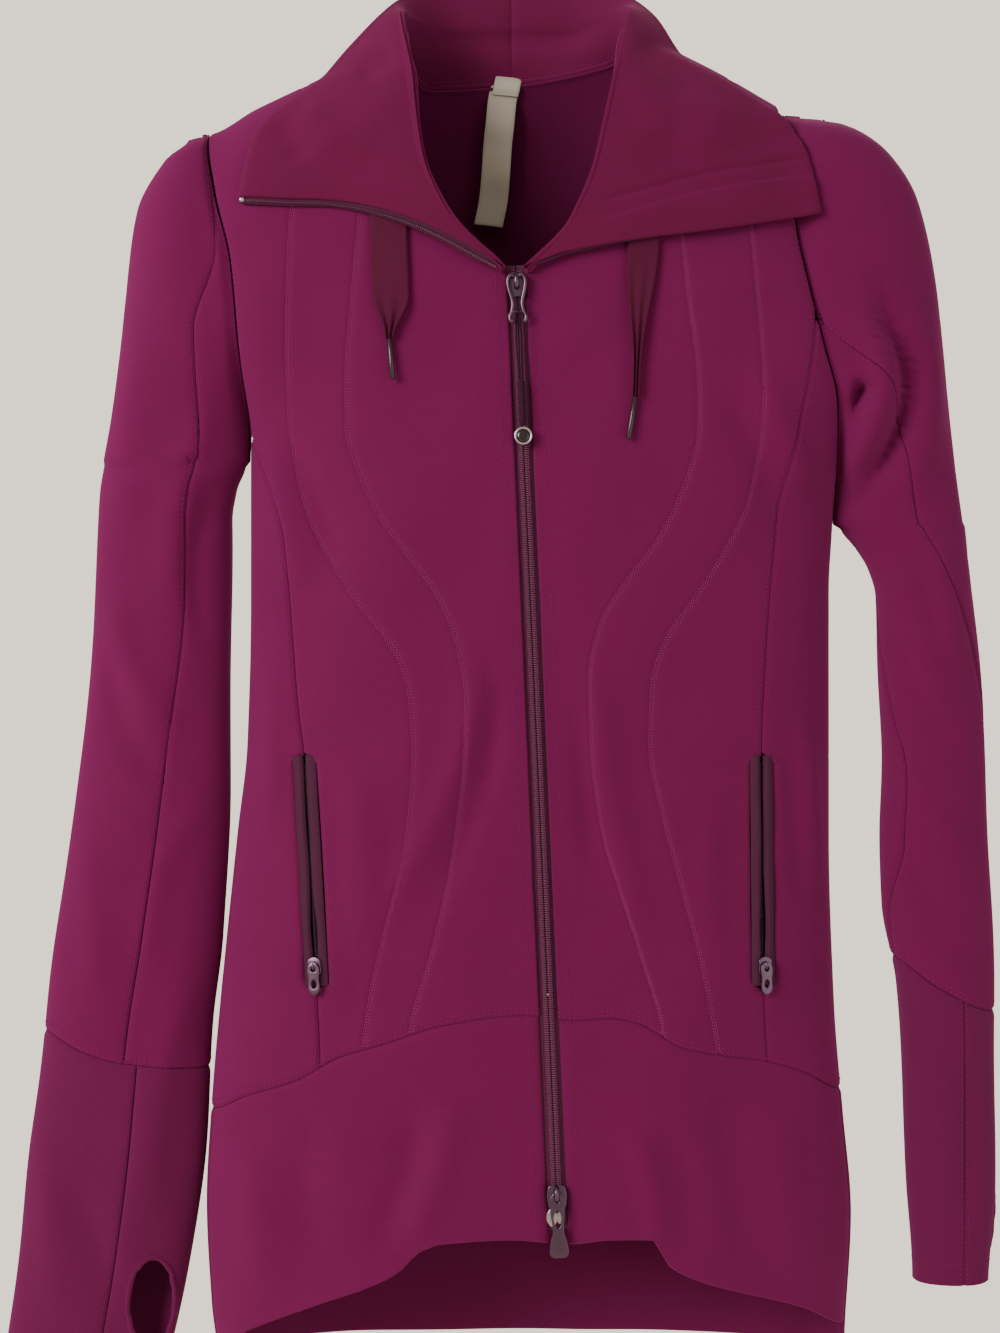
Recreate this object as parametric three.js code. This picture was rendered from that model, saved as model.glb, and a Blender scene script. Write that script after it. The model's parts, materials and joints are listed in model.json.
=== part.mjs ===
// Stretch-knit zip jacket, hanging with its collar folded open. Millimetres, +Z up, front faces -Y.
// The origin is the seat inside the neck where a hanger carries it. "right" and "left" are the
// wearer's own, so right is -X. Fabric panels are thin open shells, cut along the real seams.
import * as THREE from 'three';

// ---------------------------------------------------------------- driving dimensions
const FABRIC = 1.8;            // thickness of the double knit
const SEAM_GAP = 0.5;          // clear gap between neighbouring panels
const ROUNDNESS = 2.4;         // superellipse exponent of the body section
const SLEEVE_ROUNDNESS = 2.2;  // superellipse exponent of the sleeve section
const FRONT_DEPTH_TOP = 50;    // front centre depth at the zip's top end
const FRONT_DEPTH_BOTTOM = 58; // front centre depth at the hem
const BACK_DEPTH = 48;
const ARMHOLE_DEPTH = 25;      // half depth of the armhole opening
const ARMHOLE_FADE = 85;       // height over which the armhole opens above the underarm
const SHOULDER_ROUND = 78;     // height over which front and back round into the shoulder seam
const SLEEVE_DEPTH = 25;       // half depth of the sleeve below the underarm
const CUFF_DEPTH = 19;
const ZIP_TOP = { x: 2, z: -126 };
const ZIP_BOTTOM = { x: 26, z: -671 };
const ZIP_LENGTH = 543;        // top stop to the end of the retainer box
const ZIP_SLOT = 6.2;          // half width of the gap between the two front edges
const POCKET_TOP = -405;
const POCKET_BOTTOM = -535;
const POCKET_SLOT = 7.0;       // half width of the pocket mouth
const BAG_TOP = -395;
const BAG_BOTTOM = -548;
const BAG_SKIP = 0.19;         // share of the bag's reach left open behind the mouth
const UNDERARM = { right: -232, left: -269 };
const SLEEVE_PIVOT = { right: [-206, 0, -292], left: [243, 0, -330] };
const SWING_RADIUS = 50;       // round split between the sleeve cap and the swinging sleeve
const LEVELS = [-62, -100, -140, -186, -232, -250, -269, -290, -318, -348, -378, -402, -404, -448, -492,
  -536, -538];

// ---------------------------------------------------------------- outlines, as [height, x]
const SIDE = {
  right: [[-40, -178], [-78, -172], [-118, -162.5], [-180, -157], [-217, -153.5], [-232, -154], [-313, -154],
    [-396, -156], [-451, -162], [-549, -172], [-608, -177], [-666, -180], [-727, -177], [-756, -174]],
  left: [[-26, 157], [-66, 160], [-101, 164], [-132, 171], [-167, 180], [-200, 188], [-239, 190],
    [-269, 189],
    [-307, 187], [-452, 187], [-549, 190], [-612, 195], [-673, 200], [-756, 196]],
};
const INNER_CONTOUR = {
  right: [[30, -80], [-60, -84], [-140, -91], [-190, -94.5], [-215, -94.5], [-236, -89], [-265, -76],
    [-286, -61], [-314, -41], [-340, -31], [-371, -26], [-406, -27], [-463, -34], [-508, -43.5],
    [-566, -58]],
  left: [[30, 88], [-60, 93], [-140, 101], [-190, 107], [-216, 107.5], [-243, 101], [-276, 86], [-304, 65],
    [-329, 50], [-360, 44], [-398, 45], [-444, 51], [-482, 62], [-515, 73], [-566, 86]],
};
const OUTER_CONTOUR = {
  right: [[30, -121], [-60, -124], [-120, -128], [-186, -129.5], [-211, -129.5], [-230, -127], [-265, -118],
    [-287, -107], [-311, -91], [-335, -72], [-354, -62], [-371, -58], [-402, -56], [-453, -60],
    [-502, -72], [-542, -81], [-580, -85]],
  left: [[30, 128], [-60, 133], [-120, 139], [-186, 144], [-217, 143.5], [-255, 137], [-288, 121],
    [-314, 104],
    [-337, 88], [-364, 80], [-398, 79], [-436, 86], [-474, 96], [-512, 106], [-545, 113], [-580, 118]],
};
const PRINCESS = {
  right: [[-232, -147], [-250, -139], [-280, -131], [-314, -129], [-369, -124], [-404, -120], [-536, -112],
    [-600, -110]],
  left: [[-269, 153], [-308, 149], [-347, 146], [-401, 143.5], [-532, 144.5], [-600, 148]],
};
const BACK_PRINCESS = { right: -118, left: 150 };
const NECK_EDGE = {
  right: [[32, -62], [4, -59], [-12, -55], [-42, -53], [-65, -50], [-84, -41], [-101, -29], [-126, -4.5]],
  left: [[32, 66], [9, 61], [-14, 58], [-44, 52], [-72, 46], [-93, 38], [-107, 27], [-126, 8.5]],
};
const SLEEVE_OUTER = {
  right: [[-42, -192], [-55, -205], [-84, -220], [-136, -227], [-207, -236], [-244, -242], [-337, -248],
    [-431, -258], [-520, -270], [-570, -276], [-638, -285], [-746, -297], [-768, -300]],
  left: [[-30, 186], [-34, 200], [-52, 224], [-80, 241], [-124, 250], [-188, 257], [-241, 263], [-294, 271],
    [-347, 276], [-452, 281], [-549, 285], [-658, 285], [-716, 282]],
};
const SLEEVE_INNER = {
  right: [[-232, -157], [-248, -163], [-266, -166], [-424, -166], [-511, -170], [-561, -176], [-638, -181],
    [-744, -199], [-768, -206]],
  left: [[-269, 194], [-282, 203], [-294, 210], [-310, 215], [-347, 217], [-399, 219], [-452, 216.5],
    [-492, 218], [-538, 227], [-575, 230], [-658, 233], [-716, 236]],
};
const SLEEVE_SEAM = {
  right: [[-240, -187], [-314, -190], [-401, -201], [-470, -209], [-545, -221], [-600, -228]],
  left: [[-270, 245], [-320, 255], [-400, 250], [-470, 240], [-560, 246]],
};
const SLEEVE_END = { right: -768, left: -713 };
const CUFF_START = { right: -1.75, left: -1.34 };     // turn of the cuff's own seam
const THUMB_COLUMN = { right: 14, left: 4 };          // the cuff cell left open for the thumb
const THUMB_ROWS = [6, 7];

// ---------------------------------------------------------------- outlines across, as [x, height]
const SHOULDER = [[-180, -38], [-150, -23], [-110, -4], [-72, 16], [-60, 22], [64, 25], [76, 20], [118, 0],
  [159, -23], [190, -38]];
const BACK_NECK = [[-72, 16], [-50, -3], [0, 0], [58, 10], [76, 20]];
const BAND_SEAM = [[-181, -611], [-152, -599], [-124, -589], [-99, -575], [-72, -566.5], [-38, -555.5],
  [7, -550],
  [34, -553], [56, -552], [72, -555], [97, -569], [120, -574], [145, -578], [167, -585], [197, -599]];
const FRONT_HEM = [[-181, -752], [-150, -733], [-114, -717], [-76, -702], [-64, -695], [-53, -684],
  [-38, -679],
  [0, -677], [34, -679], [55, -677], [80, -677], [89, -692], [109, -702], [167, -720], [200, -736]];
const CUFF_SEAM = {
  right: [[-300, -560], [-272, -567], [-252, -577], [-227, -584], [-170, -588]],
  left: [[210, -515], [229, -526], [249, -540], [285, -554]],
};

// ---------------------------------------------------------------- collar and cord outlines, as [x, z]
const LEAF_FRONT_EDGE = {
  right: [[-6, -124], [-24, -109], [-54, -93], [-96, -86], [-131, -84], [-156, -82]],
  left: [[10, -124], [42, -108], [56, -108], [84, -106], [112, -103], [158, -95], [176, -91]],
};
const LEAF_TOP_EDGE = {
  right: [[-156, -82], [-151, -56], [-144.5, -35], [-124, -22], [-96, 7], [-75, 28]],
  left: [[176, -91], [172, -74], [163, -42], [156, -32], [134, -18], [107, -2], [91, 8], [79, 28]],
};
const LEAF_LIFT = 8.5;         // the folded leaf stands this far off the chest
const LEAF_THICKNESS = 2.6;    // two layers of knit
const CHEST_LEVEL = -110;      // the drawcords lie on the chest's slope at this height
const CORD_GAP = 2.2;          // drawcord's clear gap above the chest
const CORD_THICKNESS = 1.3;
const AGLET_RADIUS = 1.5;
const DRAWCORD = {
  right: { path: [[-71, -42], [-70.5, -100], [-69, -145], [-70, -165]], width: 20, end: [-68, -189] },
  left: { path: [[76, -60], [75, -106], [72, -150], [70, -198]], width: 17, end: [66, -223] },
};

// ---------------------------------------------------------------- looks
const COLOURS = {
  knit: [0x6e2158, 0.85, 0], collar: [0x62205a, 0.85, 0], tape: [0x4a2a48, 0.8, 0], teeth: [0x3c2240,
    0.5, 0],
  metal: [0x8a8090, 0.35, 1], cord: [0x5e2350, 0.8, 0], dark: [0x241a24, 0.5, 0], label: [0xe6e2dc, 0.8, 0],
};

const jacket = new THREE.Group();

function add(name, look, geometry) {
  const [color, roughness, metalness] = COLOURS[look];
  const mesh = new THREE.Mesh(geometry, new THREE.MeshStandardMaterial({ color, roughness, metalness }));
  mesh.name = name;
  jacket.add(mesh);
  return mesh;
}

// ---------------------------------------------------------------- curves
const clamp01 = (value) => Math.min(1, Math.max(0, value));
const mix = (a, b, share) => a + (b - a) * share;
const smooth = (value) => clamp01(value) ** 2 * (3 - 2 * clamp01(value));

/* A smooth line through [key, value] pairs that never overshoots them. */
function line(pairs) {
  const points = [...pairs].sort((a, b) => a[0] - b[0]);
  const slopes = points.map((point, index) => {
    if (index === 0 || index === points.length - 1) return 0;
    const before = (point[1] - points[index - 1][1]) / (point[0] - points[index - 1][0]);
    const after = (points[index + 1][1] - point[1]) / (points[index + 1][0] - point[0]);
    return before * after <= 0 ? 0 : (2 * before * after) / (before + after);
  });
  const last = points.length - 1;
  return (key) => {
    if (key <= points[0][0]) return points[0][1];
    if (key >= points[last][0]) return points[last][1];
    const index = points.findIndex((point) => key < point[0]) - 1;
    const [x0, y0] = points[index];
    const [x1, y1] = points[index + 1];
    const t = (key - x0) / (x1 - x0);
    const span = x1 - x0;
    return y0 * (1 + 2 * t) * (1 - t) ** 2 + slopes[index] * span * t * (1 - t) ** 2
      + y1 * t * t * (3 - 2 * t) + slopes[index + 1] * span * t * t * (t - 1);
  };
}

const bothSides = (table) => ({ right: line(table.right), left: line(table.left) });
const side = bothSides(SIDE);
const innerContour = bothSides(INNER_CONTOUR);
const outerContour = bothSides(OUTER_CONTOUR);
const princess = bothSides(PRINCESS);
const neckEdge = bothSides(NECK_EDGE);
const sleeveOuter = bothSides(SLEEVE_OUTER);
const sleeveInner = bothSides(SLEEVE_INNER);
const sleeveSeam = bothSides(SLEEVE_SEAM);
const cuffSeam = bothSides(CUFF_SEAM);
const shoulder = line(SHOULDER);
const backNeck = line(BACK_NECK);
const bandSeam = line(BAND_SEAM);
const frontHem = line(FRONT_HEM);
const backHem = () => -756;
const zipX = (z) => mix(ZIP_TOP.x, ZIP_BOTTOM.x, (ZIP_TOP.z - z) / (ZIP_TOP.z - ZIP_BOTTOM.z));
const frontDepth = (z) => mix(FRONT_DEPTH_TOP, FRONT_DEPTH_BOTTOM, (ZIP_TOP.z - z) / 564);

// ---------------------------------------------------------------- the body surface
const HAND = { right: -1, left: 1 };
const QUARTER = Math.PI / 2;
const centreX = (z) => (side.right(z) + side.left(z)) / 2;
const halfWidth = (z) => (side.left(z) - side.right(z)) / 2;
const round = (value, power) => Math.sign(value) * Math.abs(value) ** (2 / power);

/* Depth at the armhole edge: nothing below the underarm, opening above it. */
const armholeDepth = (hand, z) => ARMHOLE_DEPTH * smooth((z - UNDERARM[hand]) / ARMHOLE_FADE);

/* Front and back round together into the shoulder seam. */
function shoulderShare(x, z) {
  const below = clamp01((shoulder(x) - z) / SHOULDER_ROUND);
  return Math.max(0.09, Math.sqrt(1 - (1 - below) ** 2));
}

/* turn runs from -90 degrees at the right side, over the front, to 90 at the left side;
   past 90 and below -90 it is the back. */
function bodyPoint(turn, z, back = Math.abs(turn) > QUARTER) {
  const hand = turn < 0 ? 'right' : 'left';
  const x = centreX(z) + halfWidth(z) * round(Math.sin(turn), ROUNDNESS);
  const edge = armholeDepth(hand, z);
  const full = back ? BACK_DEPTH : frontDepth(z);
  const depth = (edge + (full - edge) * Math.abs(round(Math.cos(turn), ROUNDNESS))) * shoulderShare(x, z);
  return new THREE.Vector3(x, back ? depth : -depth, z);
}

/* The turn at which the body surface passes a given x. */
function turnAt(x, z) {
  const share = Math.min(1, Math.abs(x - centreX(z)) / halfWidth(z));
  return Math.sign(x - centreX(z)) * Math.asin(share ** (ROUNDNESS / 2));
}

// ---------------------------------------------------------------- solids from grids
/* Outer and inner grids of points become one closed solid; keep(i, j) leaves cells out as holes. */
function closedShell(outer, inner, keep = () => true) {
  const rows = outer.length - 1;
  const columns = outer[0].length - 1;
  const positions = [];
  const indices = [];
  for (const grid of [outer, inner]) {
    for (const row of grid) for (const point of row) positions.push(point.x, point.y, point.z);
  }
  const at = (layer, i, j) => layer * (rows + 1) * (columns + 1) + j * (columns + 1) + i;
  const quad = (a, b, c, d) => indices.push(a, b, c, a, c, d);
  const inside = (i, j) => i >= 0 && j >= 0 && i < columns && j < rows && keep(i, j);
  for (let j = 0; j < rows; j += 1) {
    for (let i = 0; i < columns; i += 1) {
      if (!inside(i, j)) continue;
      quad(at(0, i, j), at(0, i, j + 1), at(0, i + 1, j + 1), at(0, i + 1, j));
      quad(at(1, i, j), at(1, i + 1, j), at(1, i + 1, j + 1), at(1, i, j + 1));
      if (!inside(i - 1, j)) quad(at(0, i, j), at(1, i, j), at(1, i, j + 1), at(0, i, j + 1));
      if (!inside(i + 1, j)) quad(at(0, i + 1, j + 1), at(1, i + 1, j + 1), at(1, i + 1, j), at(0, i + 1,
        j));
      if (!inside(i, j - 1)) quad(at(0, i + 1, j), at(1, i + 1, j), at(1, i, j), at(0, i, j));
      if (!inside(i, j + 1)) quad(at(0, i, j + 1), at(1, i, j + 1), at(1, i + 1, j + 1), at(0, i + 1,
        j + 1));
    }
  }
  return facingOut(positions, indices);
}

/* Unused points are dropped and the faces are turned so that the volume is positive. */
function facingOut(positions, indices) {
  const point = (index) => new THREE.Vector3().fromArray(positions, index * 3);
  let volume = 0;
  for (let k = 0; k < indices.length; k += 3) {
    volume += point(indices[k]).dot(point(indices[k + 1]).cross(point(indices[k + 2])));
  }
  const order = volume < 0 ? [0, 2, 1] : [0, 1, 2];
  const corners = [];
  for (let k = 0; k < indices.length; k += 3) {
    for (const step of order) corners.push(...point(indices[k + step]).toArray());
  }
  const geometry = new THREE.BufferGeometry();
  geometry.setAttribute('position', new THREE.Float32BufferAttribute(corners, 3));
  return geometry;
}

/* A surface(a, b) sampled at a grid of [a, b] pairs and thickened away from its outer side. */
function sheet(surface, grid, outward, thickness = FABRIC, keep = undefined) {
  const step = 1e-3;
  const inward = (a, b) => {
    const along = surface(a + step, b).sub(surface(a - step, b));
    const down = surface(a, b + step).sub(surface(a, b - step));
    const normal = along.cross(down).normalize();
    const point = surface(a, b);
    return outward(point).dot(normal) > 0 ? normal.negate() : normal;
  };
  const outer = grid.map((row) => row.map(([a, b]) => surface(a, b)));
  const inner = grid.map((row) => row.map(([a, b]) => (
    surface(a, b).addScaledVector(inward(a, b), thickness))));
  return closedShell(outer, inner, keep);
}

const awayFromBody = (point) => new THREE.Vector3(point.x - centreX(point.z), point.y * 3, 0);

/* A body panel between two turn limits, from a top line to a bottom line, cut at the shared levels. */
function bodyPanel({ from, to, top, bottom, columns, back, levels = LEVELS }) {
  const limits = (share, z) => {
    const inset = SEAM_GAP / 2 / 90;
    return mix(from(z) + inset, to(z) - inset, share);
  };
  const settle = (edge, share, start) => {
    let z = start;
    for (let pass = 0; pass < 6; pass += 1) z = edge(bodyPoint(limits(share, z), z, back).x);
    return z;
  };
  const shares = Array.from({ length: columns + 1 }, (_, i) => i / columns);
  const tops = shares.map((share) => settle(top, share, levels[0]) - SEAM_GAP / 2);
  const bottoms = shares.map((share) => settle(bottom, share, levels[levels.length - 1]) + SEAM_GAP / 2);
  const heights = [tops, ...levels.map((z) => shares.map(() => z)), bottoms];
  const grid = heights.map((row) => row.map((z, i) => [limits(shares[i], z), z]));
  return sheet((turn, z) => bodyPoint(turn, z, back), grid, awayFromBody);
}

const inPocket = (z) => z < POCKET_TOP + 1.5 && z > POCKET_BOTTOM - 1.5;

for (const hand of ['right', 'left']) {
  const sign = HAND[hand];
  const under = UNDERARM[hand];
  const seam = (table) => (z) => turnAt(table[hand](z), z);
  const zipEdge = (z) => turnAt(z > ZIP_TOP.z ? neckEdge[hand](z) : zipX(z) + sign * ZIP_SLOT, z);
  const pocketEdge = (shift) => (z) => {
    if (z > under - 1) return sign * QUARTER * 0.995;
    return turnAt(princess[hand](z) + sign * (inPocket(z) ? shift * POCKET_SLOT : shift * 0.2), z);
  };
  const backEdge = (z) => {
    if (z > under + 1) return sign * Math.PI / 2 * 1.005;
    const inward = smooth((under - z) / 70);
    return sign * Math.PI - turnAt(mix(side[hand](z) - sign * 4, BACK_PRINCESS[hand], inward), z);
  };
  const ordered = (a, b) => (sign > 0 ? { from: a, to: b } : { from: b, to: a });
  const body = { top: shoulder, bottom: bandSeam, back: false };
  add(`centre_front_${hand}`, 'knit', bodyPanel({ ...body, ...ordered(zipEdge, seam(innerContour)),
    columns: 4 }));
  add(`contour_strip_${hand}`, 'knit',
    bodyPanel({ ...body, ...ordered(seam(innerContour), seam(outerContour)), columns: 2 }));
  add(`side_front_${hand}`, 'knit',
    bodyPanel({ ...body, ...ordered(seam(outerContour), pocketEdge(-1)), columns: 4 }));
  add(`side_panel_${hand}`, 'knit', bodyPanel({
    ...ordered((z) => (z > under - 6 ? sign * QUARTER : pocketEdge(1)(z)), (z) => backEdge(Math.min(z,
      under))),
    top: () => under - 1.5,
    bottom: bandSeam,
    columns: 6,
    levels: LEVELS.filter((z) => z < under - 5),
  }));
  const bandEnd = (z) => sign * QUARTER * 0.9;
  const zipEnd = (z) => turnAt(zipX(z) + sign * ZIP_SLOT, z);
  add(`hem_band_front_${hand}`, 'knit', bodyPanel({
    ...ordered(zipEnd, bandEnd), top: (x) => bandSeam(x) - 2 * SEAM_GAP, bottom: frontHem,
    columns: 9, back: false, levels: [-618, -645, -668],
  }));
}

// ---------------------------------------------------------------- back
const backTurns = (share) => mix(QUARTER * 1.005, Math.PI * 1.5 - QUARTER * 0.005, share);
const YOKE_SEAM = -118;

/* The back surface by share from the left side (0) to the right side (1). */
function backPoint(share, z) {
  const turn = backTurns(share);
  return bodyPoint(turn > Math.PI ? turn - 2 * Math.PI : turn, z, true);
}

function backPanel({ limit, top, bottom, columns, levels }) {
  const shares = Array.from({ length: columns + 1 }, (_, i) => i / columns);
  const place = (share, z) => {
    const [low, high] = limit(z);
    return mix(low, high, share);
  };
  const settle = (edge, share, start) => {
    let z = start;
    for (let pass = 0; pass < 6; pass += 1) z = edge(backPoint(place(share, z), z).x);
    return z;
  };
  const tops = shares.map((share) => settle(top, share, levels[0]) - SEAM_GAP / 2);
  const bottoms = shares.map((share) => settle(bottom, share, levels[levels.length - 1]) + SEAM_GAP / 2);
  const heights = [tops, ...levels.map((z) => shares.map(() => z)), bottoms];
  const grid = heights.map((row) => row.map((z, i) => [place(shares[i], z), z]));
  return sheet(backPoint, grid, awayFromBody);
}

/* Limits of the middle back: the armholes above the underarms, the back princess seams below. */
function backLimits(z) {
  const share = (hand) => {
    const sign = HAND[hand];
    const under = UNDERARM[hand];
    const inward = smooth((under - z) / 70);
    const x = z > under + 1 ? side[hand](z) : mix(side[hand](z) - sign * 4, BACK_PRINCESS[hand], inward);
    return (Math.PI - turnAt(x, z) - backTurns(0)) / (backTurns(1) - backTurns(0));
  };
  const gap = 0.003;
  return [clamp01(share('left')) + gap, clamp01(share('right')) - gap];
}

const shoulderOrNeck = (x) => (x > -72 && x < 76 ? backNeck(x) : shoulder(x));
add('back_yoke', 'knit', backPanel({
  limit: () => [0.003, 0.997], top: shoulderOrNeck, bottom: () => YOKE_SEAM, columns: 18, levels: [-62, -85],
}));
add('back_panel', 'knit', backPanel({
  limit: backLimits, top: () => YOKE_SEAM, bottom: (x) => bandSeam(x) + SEAM_GAP, columns: 14,
  levels: LEVELS.filter((z) => z < YOKE_SEAM && z !== -402 && z !== -536),
}));
const bandBackStart = QUARTER * 0.9 + 0.02;
const bandBack = (share, z) => {
  const turn = mix(bandBackStart, 2 * Math.PI - bandBackStart, share);
  return bodyPoint(turn > Math.PI ? turn - 2 * Math.PI : turn, z, undefined);
};
const bandColumns = 18;
const bandRows = 4;
const bandGrid = Array.from({ length: bandRows + 1 }, (_, j) => (
  Array.from({ length: bandColumns + 1 }, (__, i) => {
    const share = i / bandColumns;
    const top = bandSeam(bandBack(share, -600).x) - 2.5 * SEAM_GAP;
    return [share, mix(top, backHem(), j / bandRows)];
  })));
add('hem_band_back', 'knit', sheet(bandBack, bandGrid, awayFromBody));

// ---------------------------------------------------------------- sleeves
/* turn runs from -180 degrees at the inner front edge, over the outer edge at 0,
  to 180 at the inner back. */
function sleevePoint(hand, turn, z) {
  const above = z > UNDERARM[hand];
  const inner = above ? side[hand](z) + HAND[hand] * 0.8 : sleeveInner[hand](z);
  const outer = sleeveOuter[hand](z);
  const across = (1 + Math.cos(turn)) / 2;
  const edge = Math.max(0, armholeDepth(hand, z)) * shoulderShare(side[hand](z), z);
  const fullness = mix(SLEEVE_DEPTH, CUFF_DEPTH, smooth((UNDERARM[hand] - 100 - z) / 350));
  const deep = Math.min(fullness, Math.abs(outer - inner) * 0.42);
  const belly = Math.abs(round(Math.sin(turn), SLEEVE_ROUNDNESS)) * Math.max(4, deep - edge * 0.6);
  const depth = edge * Math.sqrt(1 - across ** 3) + belly;
  return new THREE.Vector3(mix(inner, outer, across), turn < 0 ? -depth : depth, z);
}

/* The turn on the sleeve's front at which it passes a given x. */
function sleeveTurn(hand, x, z) {
  const inner = sleeveInner[hand](z);
  const across = clamp01((x - inner) / (sleeveOuter[hand](z) - inner));
  return -Math.acos(2 * across - 1);
}

function sleeveStrip({ hand, from, to, top, bottom, columns, rows, keep }) {
  const surface = (turn, z) => {
    const wrapped = turn > Math.PI ? turn - 2 * Math.PI : turn;
    return sleevePoint(hand, wrapped, z);
  };
  const settle = (edge, share, start) => {
    let z = start;
    for (let pass = 0; pass < 8; pass += 1) {
      const x = surface(mix(from(z), to(z), share), z).x;
      z = mix(z, edge(x), 0.7);
    }
    return z;
  };
  const grid = [];
  for (let j = 0; j <= rows; j += 1) grid.push([]);
  for (let i = 0; i <= columns; i += 1) {
    const share = i / columns;
    const high = settle(top, share, top(SLEEVE_PIVOT[hand][0]));
    const low = settle(bottom, share, bottom(SLEEVE_PIVOT[hand][0]));
    for (let j = 0; j <= rows; j += 1) {
      const z = mix(high, low, j / rows);
      grid[j].push([mix(from(z), to(z), share), z]);
    }
  }
  const outward = (point) => {
    const middle = (sleeveInner[hand](point.z) + sleeveOuter[hand](point.z)) / 2;
    return new THREE.Vector3(point.x - middle, point.y * 2, 0);
  };
  return sheet(surface, grid, outward, FABRIC * 0.8, keep);
}

const swingLine = (hand, radius) => (x) => {
  const [pivotX, , pivotZ] = SLEEVE_PIVOT[hand];
  const across = Math.min(0.97 * radius, Math.abs(x - pivotX));
  return pivotZ + Math.sqrt(radius * radius - across * across);
};

for (const hand of ['right', 'left']) {
  const back = () => Math.PI * 0.55;
  const seam = (shift) => (z) => sleeveTurn(hand, sleeveSeam[hand](z), z) + shift;
  const capTop = hand === 'right' ? -50 : -40;
  add(`sleeve_cap_${hand}`, 'knit', sleeveStrip({
    hand, from: () => -Math.PI * 0.965, to: () => Math.PI * 0.965, top: () => capTop,
    bottom: swingLine(hand, SWING_RADIUS + 1.5), columns: 12, rows: 7,
  }));
  add(`sleeve_outer_${hand}`, 'knit', sleeveStrip({
    hand, from: seam(0.02), to: () => back() - 0.02, top: swingLine(hand, SWING_RADIUS - 0.5),
    bottom: (x) => cuffSeam[hand](x) + 0.6, columns: 7, rows: 9,
  }));
  add(`sleeve_under_${hand}`, 'knit', sleeveStrip({
    hand, from: () => back() + 0.02, to: (z) => seam(-0.02)(z) + 2 * Math.PI, top: swingLine(hand,
      SWING_RADIUS - 0.5),
    bottom: (x) => cuffSeam[hand](x) + 0.6, columns: 7, rows: 9,
  }));
  const start = CUFF_START[hand];
  const [thumbTop, thumbBottom] = THUMB_ROWS;
  add(`cuff_${hand}`, 'knit', sleeveStrip({
    hand, from: () => start + 0.01, to: () => start + 2 * Math.PI - 0.01,
    top: (x) => cuffSeam[hand](x) - 0.6, bottom: () => SLEEVE_END[hand], columns: 16, rows: 9,
    keep: (i, j) => i !== THUMB_COLUMN[hand] || j < thumbTop || j > thumbBottom,
  }));
}

// ---------------------------------------------------------------- collar
/* The front surface's y at a given x and z, running on over the sleeve past the armhole. */
function frontY(x, z) {
  const hand = x < 0 ? 'right' : 'left';
  const onBody = bodyPoint(turnAt(x, z), z, false).y;
  const past = (x - side[hand](z)) * HAND[hand];
  if (past <= 0 || z < UNDERARM[hand]) return onBody;
  const across = clamp01(past / Math.abs(sleeveOuter[hand](z) - side[hand](z)));
  return Math.min(onBody, sleevePoint(hand, -Math.acos(2 * across - 1), z).y);
}
const flatCurve = (points) => new THREE.CatmullRomCurve3(points.map(([x, z]) => new THREE.Vector3(x, 0, z)));

/* Back piece of the funnel collar: stands up from the neck seam behind the hanger. */
const COLLAR_FOOT = [[-68, 2, 22], [-62, 22, 10], [-40, 37, -1], [0, 41, 2], [40, 38, 8], [66, 22, 16],
  [74, 2, 24]];
const COLLAR_RIM = [[-66, 0, 36], [-58, 24, 50], [-36, 42, 57], [0, 49, 60], [36, 44, 61], [62, 25, 54],
  [72, 0, 38]];
const spaceCurve = (points) => (
  new THREE.CatmullRomCurve3(points.map((point) => new THREE.Vector3(...point))));
const foot = spaceCurve(COLLAR_FOOT);
const rim = spaceCurve(COLLAR_RIM);
const collarBack = (along, up) => foot.getPoint(clamp01(along)).add(new THREE.Vector3(0, 0, 3))
  .lerp(rim.getPoint(clamp01(along)), up);
const evenGrid = (columns, rows) => Array.from({ length: rows + 1 }, (_, j) => (
  Array.from({ length: columns + 1 }, (__, i) => [0.002 + 0.996 * (i / columns),
    0.002 + 0.996 * (j / rows)])));
add('collar_back', 'collar', sheet(collarBack, evenGrid(14, 3), (point) => (
  new THREE.Vector3(point.x, point.y + 5, 0)), LEAF_THICKNESS));

for (const hand of ['right', 'left']) {
  const roll = flatCurve(NECK_EDGE[hand].map(([z, x]) => [x + HAND[hand] * 2.5, z]).reverse());
  const rimLine = flatCurve(LEAF_TOP_EDGE[hand]);
  const front = flatCurve(LEAF_FRONT_EDGE[hand]);
  const leaf = (along, out) => {
    const flat = roll.getPoint(clamp01(along)).lerp(rimLine.getPoint(clamp01(along)), out);
    const straight = roll.getPoint(0).lerp(rimLine.getPoint(0), out);
    flat.addScaledVector(front.getPoint(clamp01(out)).sub(straight), (1 - clamp01(along)) ** 2);
    flat.y = frontY(flat.x, Math.min(flat.z, shoulder(flat.x))) - LEAF_LIFT;
    return flat;
  };
  add(`collar_leaf_${hand}`, 'collar',
    sheet(leaf, evenGrid(9, 8), () => new THREE.Vector3(0, -1, 0), LEAF_THICKNESS));
  const tape = (out, drop) => {
    const point = front.getPoint(clamp01(out));
    return new THREE.Vector3(point.x, frontY(point.x, point.z) - LEAF_LIFT + 0.8, point.z - 0.5 - drop);
  };
  const tapeGrid = evenGrid(9, 1).map((row) => row.map(([a, b]) => [0.12 + 0.87 * a, b * 5]));
  add(`collar_zip_tape_${hand}`, 'tape', sheet(tape, tapeGrid, () => new THREE.Vector3(0, -1, 0), 1.2));
}

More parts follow.
